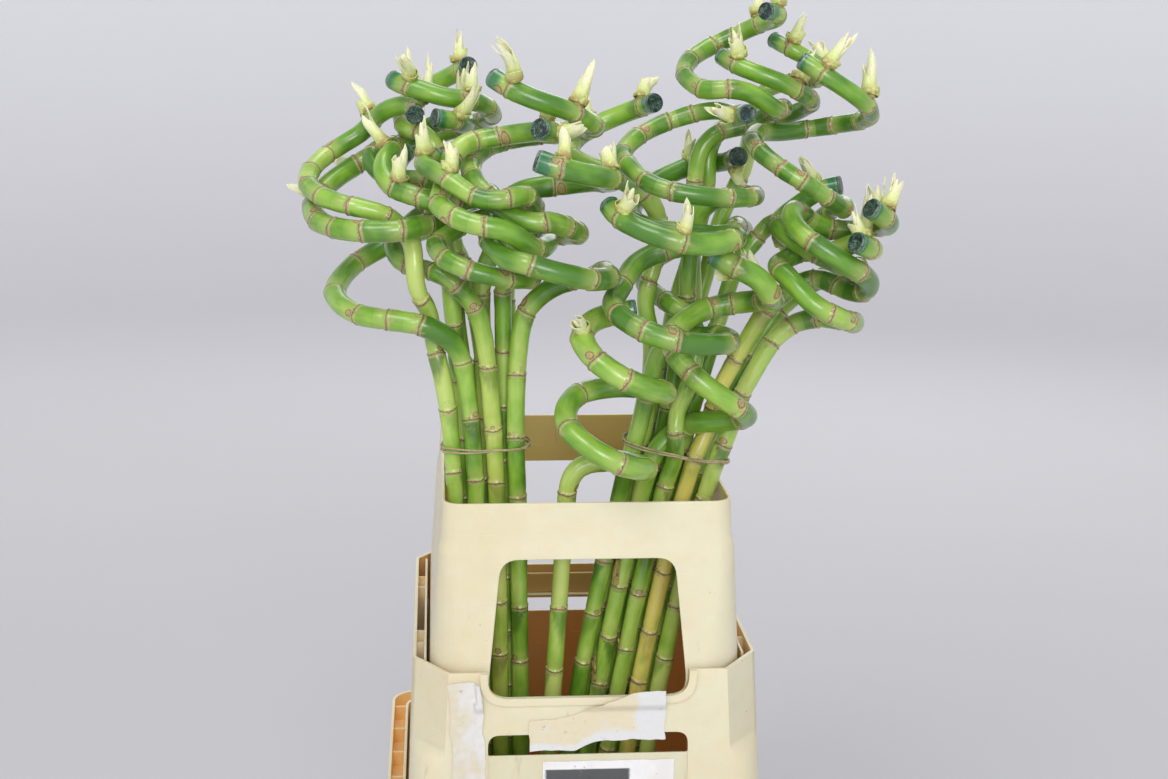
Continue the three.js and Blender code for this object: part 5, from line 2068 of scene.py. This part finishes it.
@dataclass
class LowerCollar:
    """The chamfered collar below, with notches, slots, side channels and a panel for a card."""

    skin: Material
    shelf_height: float = 334.4
    rim_height: float = 380.0
    rim_depth: float = 157.0
    notch_half: float = 73.0
    notch_low: float = 361.0
    notch_high: float = 400.0
    lip_width: float = 5.5
    lip_depth: float = 3.2
    chamfer: tuple = (26.0, 36.5)
    low_slope: float = 0.12
    upstand: tuple = (117.2, 118.9)
    upstand_half: float = 120.5
    rib_start: float = 118.0
    rib_half: float = 0.8
    rib_drop: float = 4.0
    rib_places: tuple = (-80.0, -53.0, 53.0, 80.0)
    pocket_drops: tuple = (13.4, 12.0)
    pockets: tuple = ((-80.4, -52.6), (52.6, 80.4))
    panel_heights: tuple = (256.0, 311.0, 318.0)
    panel_depths: tuple = (1.2, -4.0)
    slot_heights: tuple = (317.0, 333.0)
    cuts: tuple = ((-190.0, -151.0), (151.0, 190.0))

    def stations(self) -> list[Level]:
        """The outside form, from the bottom up.

        Returns:
            Half sizes, corner sizes, height and roundness of each level.
        """
        chamfer = self.chamfer
        return [
            ((134.3, 164.8), (22.0, 22.0), 200.3, 1.0),
            ((130.0, 160.5), chamfer, 311.0, 1.0),
            ((130.0, 160.5), chamfer, 316.0, 0.8),
            ((129.9, 160.4), chamfer, 320.0, 0.35),
            ((129.8, 160.2), chamfer, 323.0, self.low_slope),
            ((127.0, self.rim_depth), chamfer, self.rim_height, 0.0),
        ]

    def half_at(self, height: float, axis: int) -> float:
        """How far out the side, 0, or the front, 1, stands at a height."""
        stations = self.stations()
        return float(np.interp(height, [s[2] for s in stations], [s[0][axis] for s in stations]))

    def face(self, height: float) -> float:
        """How far out the front stands at a height."""
        return self.half_at(height, 1)

    def side(self, height: float) -> float:
        """How far out the middle of the side's wall stands at a height."""
        return self.half_at(height, 0) - WALL / 2

    def channel(self, piece: Piece) -> None:
        """Upstands, ribs, pocket floors and gussets along both sides.

        Args:
            piece: The collar.
        """
        low, top, start = self.shelf_height + WALL / 2, self.rim_height, self.rib_start
        rib_top = top - self.rib_drop
        under, over = (top - drop for drop in self.pocket_drops)
        out = self.side(over)
        rib = np.array([(start, low), (self.side(low), low), (self.side(rib_top), rib_top), (start, rib_top)])
        floor = np.array([(start, under), (out, under), (out, over), (start, over)])
        ribs, floors = [], []
        for side in (-1, 1):
            x0, x1 = sorted(side * x for x in self.upstand)
            corners = (x0, -self.upstand_half, low), (x1, self.upstand_half, top - 1)
            combine(piece, block("upstand", *corners), "UNION")
            mirror = np.array([side, 1.0])
            for y in self.rib_places:
                ribs.append(prism("rib", rib * mirror, y - self.rib_half, y + self.rib_half))
            floors += [prism("floor", floor * mirror, *ends) for ends in self.pockets]
        combine(piece, join("ribs", ribs), "UNION")
        combine(piece, join("floors", floors), "UNION")

    def openings(self, piece: Piece) -> None:
        """Lips, panel recess, notches and slots, front and back.

        Args:
            piece: The collar.
        """
        top, half = self.rim_height, self.notch_half
        for side in (-1, 1):
            ends = (self.rim_depth + self.lip_depth, self.rim_depth - WALL / 2)
            front, back = sorted(side * end for end in ends)
            wide = half + self.lip_width
            lip = window(wide, wide, self.notch_low - self.lip_width, self.notch_high, (20.0, 1.0))
            strip = prism("lip", lip, front, back)
            combine(strip, block("above", (-200.0, -400.0, top), (200.0, 400.0, 800.0)), "DIFFERENCE")
            combine(piece, strip, "UNION")
        loops = []
        for z in self.panel_heights:
            near, far = (depth - self.face(z) for depth in self.panel_depths)
            around_it = ((-half, near), (half, near), (half, far), (-half, far), (-half, near))
            loops.append([(x, y, z) for x, y in around_it])
        ends = [[loop[0]] * 5 for loop in (loops[0], loops[-1])]
        combine(piece, weave("recess", np.array([ends[0], *loops, ends[1]])), "DIFFERENCE")
        notch = window(half, half, self.notch_low, self.notch_high, (15.0, 1.0))
        slot = window(half, half, *self.slot_heights, (1.0, 9.0))
        for front, back in self.cuts:
            combine(piece, prism("notch", notch, front, back), "DIFFERENCE")
            combine(piece, prism("slot", slot, front, back), "DIFFERENCE")

    def build(self) -> None:
        """Shell, shelf, channels and openings, then softened edges."""
        outside = self.stations()
        inner = [(inset(h, WALL), inset(c, WALL / 2), z, r) for h, c, z, r in outside]
        rows = np.array([ring(*s) for s in outside + inner[::-1]] + [ring(*outside[0])])
        piece = weave("lower_collar_shell", rows)
        low, high = self.shelf_height, self.shelf_height + WALL
        outer, hole = (inset((130.0, 160.5), WALL / 2), self.low_slope), ((108.0, 143.0), 1.0)
        corners = ((outer, low), (outer, high), (hole, high), (hole, low), (outer, low))
        shelf_rows = [ring(half, self.chamfer, z, slope) for (half, slope), z in corners]
        combine(piece, weave("shelf", np.array(shelf_rows)), "UNION")
        self.channel(piece)
        self.openings(piece)
        soften(piece, 0.6, 2)
        hand_over(piece, self.skin, SlotName.PLASTIC, "lower_collar")


@dataclass
class Bucket:
    """The stacking bucket that holds the water, with a ribbed rim channel."""

    skin: Material
    base: tuple = (118.0, 148.0)
    below_seat: tuple = (131.5, 162.0)
    above_seat: tuple = (137.9, 168.4)
    rim: tuple = (150.0, 181.0)
    corner: float = 24.0
    floor: float = 3.0
    seat_height: float = 200.0
    seat_width: float = 6.4
    flange_height: float = 217.0
    rim_height: float = 235.0
    rib_pitch: float = 50.0

    def build(self) -> None:
        """Shell from one profile, then the ribs of the rim."""
        corner = (self.corner, self.corner)
        inner, point = inset(corner, WALL), ((0.01, 0.01), (0.005, 0.005))
        seat, flange, top = self.seat_height, self.flange_height, self.rim_height
        profile = [
            (*point, 0.0),
            (self.base, corner, 0.0),
            (self.below_seat, corner, seat - WALL),
            (self.above_seat, corner, seat),
            (self.above_seat, corner, flange),
            (self.rim, corner, flange),
            (self.rim, corner, top),
            (inset(self.rim, WALL), inner, top),
            (inset(self.rim, WALL), inner, flange + WALL),
            (self.above_seat, corner, flange + WALL),
            (self.above_seat, corner, top),
            (inset(self.above_seat, WALL), inner, top),
            (inset(self.above_seat, WALL), inner, seat),
            (inset(self.above_seat, WALL + self.seat_width), inner, seat),
            (inset(self.base, WALL), inner, self.floor),
            (*point, self.floor),
        ]
        rows = [ring(half, cut, z, 1.0) for half, cut, z in profile]
        for k in (0, -1):
            rows[k] = np.repeat(rows[k][:, :3].mean(0)[None, :] * [0, 0, 1], len(rows[k]), 0)
        piece = weave("bucket_shell", np.array(rows))
        combine(piece, self.ribs(), "UNION")
        soften(piece, 0.8, 2)
        hand_over(piece, self.skin, SlotName.PLASTIC, "bucket")

    def ribs(self) -> Piece:
        """Upright ribs across the rim channel on all four sides.

        Returns:
            The ribs as one piece.
        """
        low, top, half = self.flange_height + WALL / 2, self.rim_height - 3.0, 0.9
        wall, lip = inset(self.above_seat, WALL / 2), inset(self.rim, WALL / 2)
        made = []
        for k, places in enumerate(self.places()):
            for at in places:
                for side in (-1, 1):
                    across, along = sorted((side * wall[k], side * lip[k])), (at - half, at + half)
                    x, y = (across, along) if k == 0 else (along, across)
                    made.append(block("rib", (x[0], y[0], low), (x[1], y[1], top)))
        return join("rim_ribs", made)

    def places(self) -> tuple[list[float], list[float]]:
        """Where ribs stand along the sides, and along the front and back.

        Returns:
            Places in Y, and places in X.
        """
        found = []
        for straight in (self.rim[1] - self.corner, self.rim[0] - self.corner):
            count = int(straight // self.rib_pitch)
            found.append([k * self.rib_pitch for k in range(-count, count + 1)])
        return found[0], found[1]


@dataclass(frozen=True)
class LabelPlan:
    """The form of one label.

    Attributes:
        edges: Left, right, bottom and top.
        depth: How deep its ground lies.
        crumple: Height of its creases.
        ragged: How far its outline wanders.
        dip: How much lower its top is on the left.
        lift: How much higher its bottom is at the right.
        slant: How far its top stands to the right of its bottom.
    """

    edges: tuple[float, float, float, float]
    depth: float
    crumple: float
    ragged: float
    dip: float = 0.0
    lift: float = 0.0
    slant: float = 0.0


@dataclass
class LabelMaker:
    """Blank stickers and a card on the lower collar's front."""

    collar: LowerCollar
    thickness: float = 0.22
    grid: float = 1.4
    creases: int = 14
    edge_waves: tuple = (31.0, 17.0, 9.0)

    def build(self, node: str, plan: LabelPlan, skin: Material) -> None:
        """Lay one label against the wall.

        Args:
            node: The node that it stands for.
            plan: Its form.
            skin: Its material.
        """
        rng = np.random.default_rng(len(node) * 11)
        left, right, low, high = plan.edges
        columns, levels = int((right - left) / self.grid), int((high - low) / self.grid)
        u, v = np.meshgrid(np.linspace(0, 1, columns), np.linspace(0, 1, levels))
        ceiling = high - plan.dip * (1 - ease(u, 0.1, 0.92))
        ground = low + plan.lift * ease(u, 0.3, 0.55)
        x = left + (right - left) * u + plan.slant * (v - 0.5)
        z = ground + (ceiling - ground) * v
        bump = np.zeros_like(x)
        for _ in range(self.creases):
            angle, size = rng.uniform(0, math.pi), rng.uniform(5, 22)
            along = (x * math.cos(angle) + z * math.sin(angle)) / size
            crease = np.sin(along * 2 * math.pi + rng.uniform(0, 6.3))
            bump += (1 - np.abs(crease)) ** 3 * rng.uniform(0.2, 1.0)
        bump *= plan.crumple / bump.max()
        for axis, at in ((x, z), (z, x)):
            for size in self.edge_waves:
                edge = np.abs((u if axis is x else v) - 0.5) * 2
                wave = np.sin(at / size * 2 * math.pi + rng.uniform(0, 6.3))
                axis += plan.ragged * edge**6 * wave * size / self.edge_waves[0]
        face = np.array([self.collar.face(h) for h in z.ravel()]).reshape(z.shape)
        over_lip = (self.collar.lip_depth + 0.5) * ease(z, 349.0, 356.0) * (np.abs(x) < 82)
        y = -face - LABEL_GAP + plan.depth - 0.15 - bump - over_lip
        piece = weave_leaf(f"{node}_sheet", np.stack([x, y, z], 2), {}, self.thickness)
        shade_smooth(piece, 50)
        hand_over(piece, skin, SlotName.PAPER, node)


LABELS = (
    (
        "tall_sticker",
        LabelPlan((-99.5, -76.0, 295.0, 373.0), 0.0, 1.1, 0.6, slant=-4.0),
        StickerFilm("sticker_film", clear=0.1),
    ),
    (
        "wide_sticker",
        LabelPlan((-43.0, 56.0, 321.0, 366.0), 0.0, 0.5, 0.4, dip=22.0, lift=7.0),
        StickerFilm("thin_film", colour(222, 223, 222), colour(225, 215, 185), clear=0.26),
    ),
    (
        "panel_card",
        LabelPlan((-33.0, 63.0, 267.0, 312.0), 1.2, 0.25, 0.15),
        StickerFilm("card_face", colour(240, 240, 240), colour(232, 230, 226), Print.BLOCKS),
    ),
)


# Stage, lights and camera


@dataclass(frozen=True)
class Lamp:
    """A soft round lamp: where it stands, its size, its power and its tint."""

    name: str
    place: tuple[float, float, float]
    size: float
    power: float
    tint: tuple[float, float, float]


@dataclass
class Studio:
    """A round pale cove, soft lights and the photograph's camera."""

    floor_radius: float = 3.6
    cove_radius: float = 1.4
    wall_height: float = 6.0
    focal: float = 57.02
    camera_place: tuple = (-0.1073, -1.4151, 0.8659)
    yaw: float = 0.0807
    tilt: float = 0.2162
    roll: float = 0.0101
    aim: tuple = (0.0, -0.05, 0.6)
    world_tint: tuple = (0.9, 0.9, 0.94, 1.0)
    world_strength: float = 0.3
    lamps: tuple[Lamp, ...] = (
        Lamp("key", (-1.3, -2.8, 3.6), 1.75, 51.0, (1.0, 0.985, 0.96)),
        Lamp("front", (0.15, -3.2, 1.5), 1.3, 35.0, (1.0, 0.99, 0.97)),
        Lamp("top", (0.2, 0.4, 4.6), 2.2, 47.0, (1.0, 1.0, 1.0)),
        Lamp("back", (0.6, 2.4, 1.8), 1.8, 10.0, (0.97, 0.98, 1.0)),
    )

    def cove(self) -> None:
        """A floor that turns up into a wall all round, spun from one profile."""
        arc = np.linspace(0, math.pi / 2, 13)
        floor, turn = self.floor_radius, self.cove_radius
        profile = [(0.0, 0.0), (floor / 2, 0.0)]
        profile += [(floor + turn * math.sin(a), turn * (1 - math.cos(a))) for a in arc]
        profile.append((floor + turn, self.wall_height))
        phi = np.linspace(0, 2 * math.pi, 97)
        rows = np.array([[(r * math.cos(a), r * math.sin(a), z) for a in phi] for r, z in profile])
        piece = weave("studio_cove", rows / MM)
        piece.data.flip_normals()
        shade_smooth(piece, 60)
        piece.data.materials.append(StudioPaper().build())

    def light(self, lamp: Lamp) -> None:
        """One soft area light that points at the plant.

        Args:
            lamp: The lamp.
        """
        data = bpy.data.lights.new(lamp.name, "AREA")
        data.shape = "DISK"
        data.size, data.energy, data.color = lamp.size, lamp.power, lamp.tint
        holder = bpy.data.objects.new(lamp.name, data)
        holder.location = lamp.place
        holder.rotation_mode = "QUATERNION"
        way = np.array(self.aim) - np.array(lamp.place)
        holder.rotation_quaternion = Matrix(self.turned(way)).to_quaternion()
        holder.visible_camera = False
        bpy.context.scene.collection.objects.link(holder)

    @staticmethod
    def turned(way: Vec) -> list[list[float]]:
        """A rotation whose -Z looks along a way.

        Args:
            way: The direction.

        Returns:
            The rotation's rows.
        """
        back = -unit(way)
        side = unit(np.cross([0.0, 0.0, 1.0], back))
        up = np.cross(back, side)
        return [[side[i], up[i], back[i]] for i in range(3)]

    def camera(self) -> None:
        """The photograph's viewpoint."""
        data = bpy.data.cameras.new("camera")
        data.sensor_width = 36.0
        data.lens = self.focal
        data.clip_start, data.clip_end = 0.05, 30.0
        level = math.cos(self.tilt)
        forward = np.array([math.sin(self.yaw) * level, math.cos(self.yaw) * level, -math.sin(self.tilt)])
        right = np.array([math.cos(self.yaw), -math.sin(self.yaw), 0.0])
        up = np.cross(right, forward)
        side = right * math.cos(self.roll) + up * math.sin(self.roll)
        top = -right * math.sin(self.roll) + up * math.cos(self.roll)
        rows = [[side[i], top[i], -forward[i], self.camera_place[i]] for i in range(3)]
        eye = bpy.data.objects.new("camera", data)
        eye.matrix_world = Matrix(rows + [[0.0, 0.0, 0.0, 1.0]])
        bpy.context.scene.collection.objects.link(eye)
        bpy.context.scene.camera = eye

    def build(self) -> None:
        """Set the stage."""
        self.camera()
        self.cove()
        for lamp in self.lamps:
            self.light(lamp)
        world = bpy.data.worlds.new("studio_world")
        world.use_nodes = True
        background = world.node_tree.nodes["Background"]
        background.inputs["Color"].default_value = self.world_tint
        background.inputs["Strength"].default_value = self.world_strength
        bpy.context.scene.world = world
        bpy.context.scene.view_settings.view_transform = "Standard"


def build_container() -> None:
    """The bucket, its collars, the labels and the water."""
    plastic = MouldedPlastic().build()
    collar = LowerCollar(plastic)
    for part in (Bucket(plastic), collar, UpperCollar(plastic)):
        part.build()
    for node, plan, film in LABELS:
        LabelMaker(collar).build(node, plan, film.build())
    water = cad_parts["water"]
    water.data.materials.clear()
    water.data.materials.append(StillWater().build())


def build_plant() -> None:
    """The stems with their wax, shoots and dry scraps, and the bands."""
    planting = Planting()
    planting.grow()
    planting.vary()
    stalks = StalkMaker(BambooSkin().build())
    sheaths = ShootMaker(ShootSkin().build())
    caps = WaxCapMaker(WaxSeal().build())
    model = caps.model()
    for number, (route, nodes, shoots) in enumerate(zip(planting.routes, planting.nodes, planting.shoots), 1):
        stalks.build(number, route, nodes, GOLD.get(number, 0.0))
        caps.build(model, number, route)
        sheaths.build(number, shoots)
    bpy.data.objects.remove(model)
    scraps = ScrapMaker(DrySheath().build())
    for number in SCRAP_STALKS:
        scraps.build(number, planting.routes[number - 1], planting.nodes[number - 1])
    bands = BandMaker(RubberStrand().build())
    for node, (name, wander) in STRANDS.items():
        bands.build(node, name, wander)


def main() -> None:
    """Build the stage, the container and the plant in order."""
    logging.basicConfig(level=logging.INFO, format="%(name)s %(message)s")
    for build, report in (
        (Studio().build, "stage is set"),
        (build_container, "container is built"),
        (build_plant, "plant is built"),
    ):
        build()
        LOG.info(report)


if __name__ == "__main__":
    main()
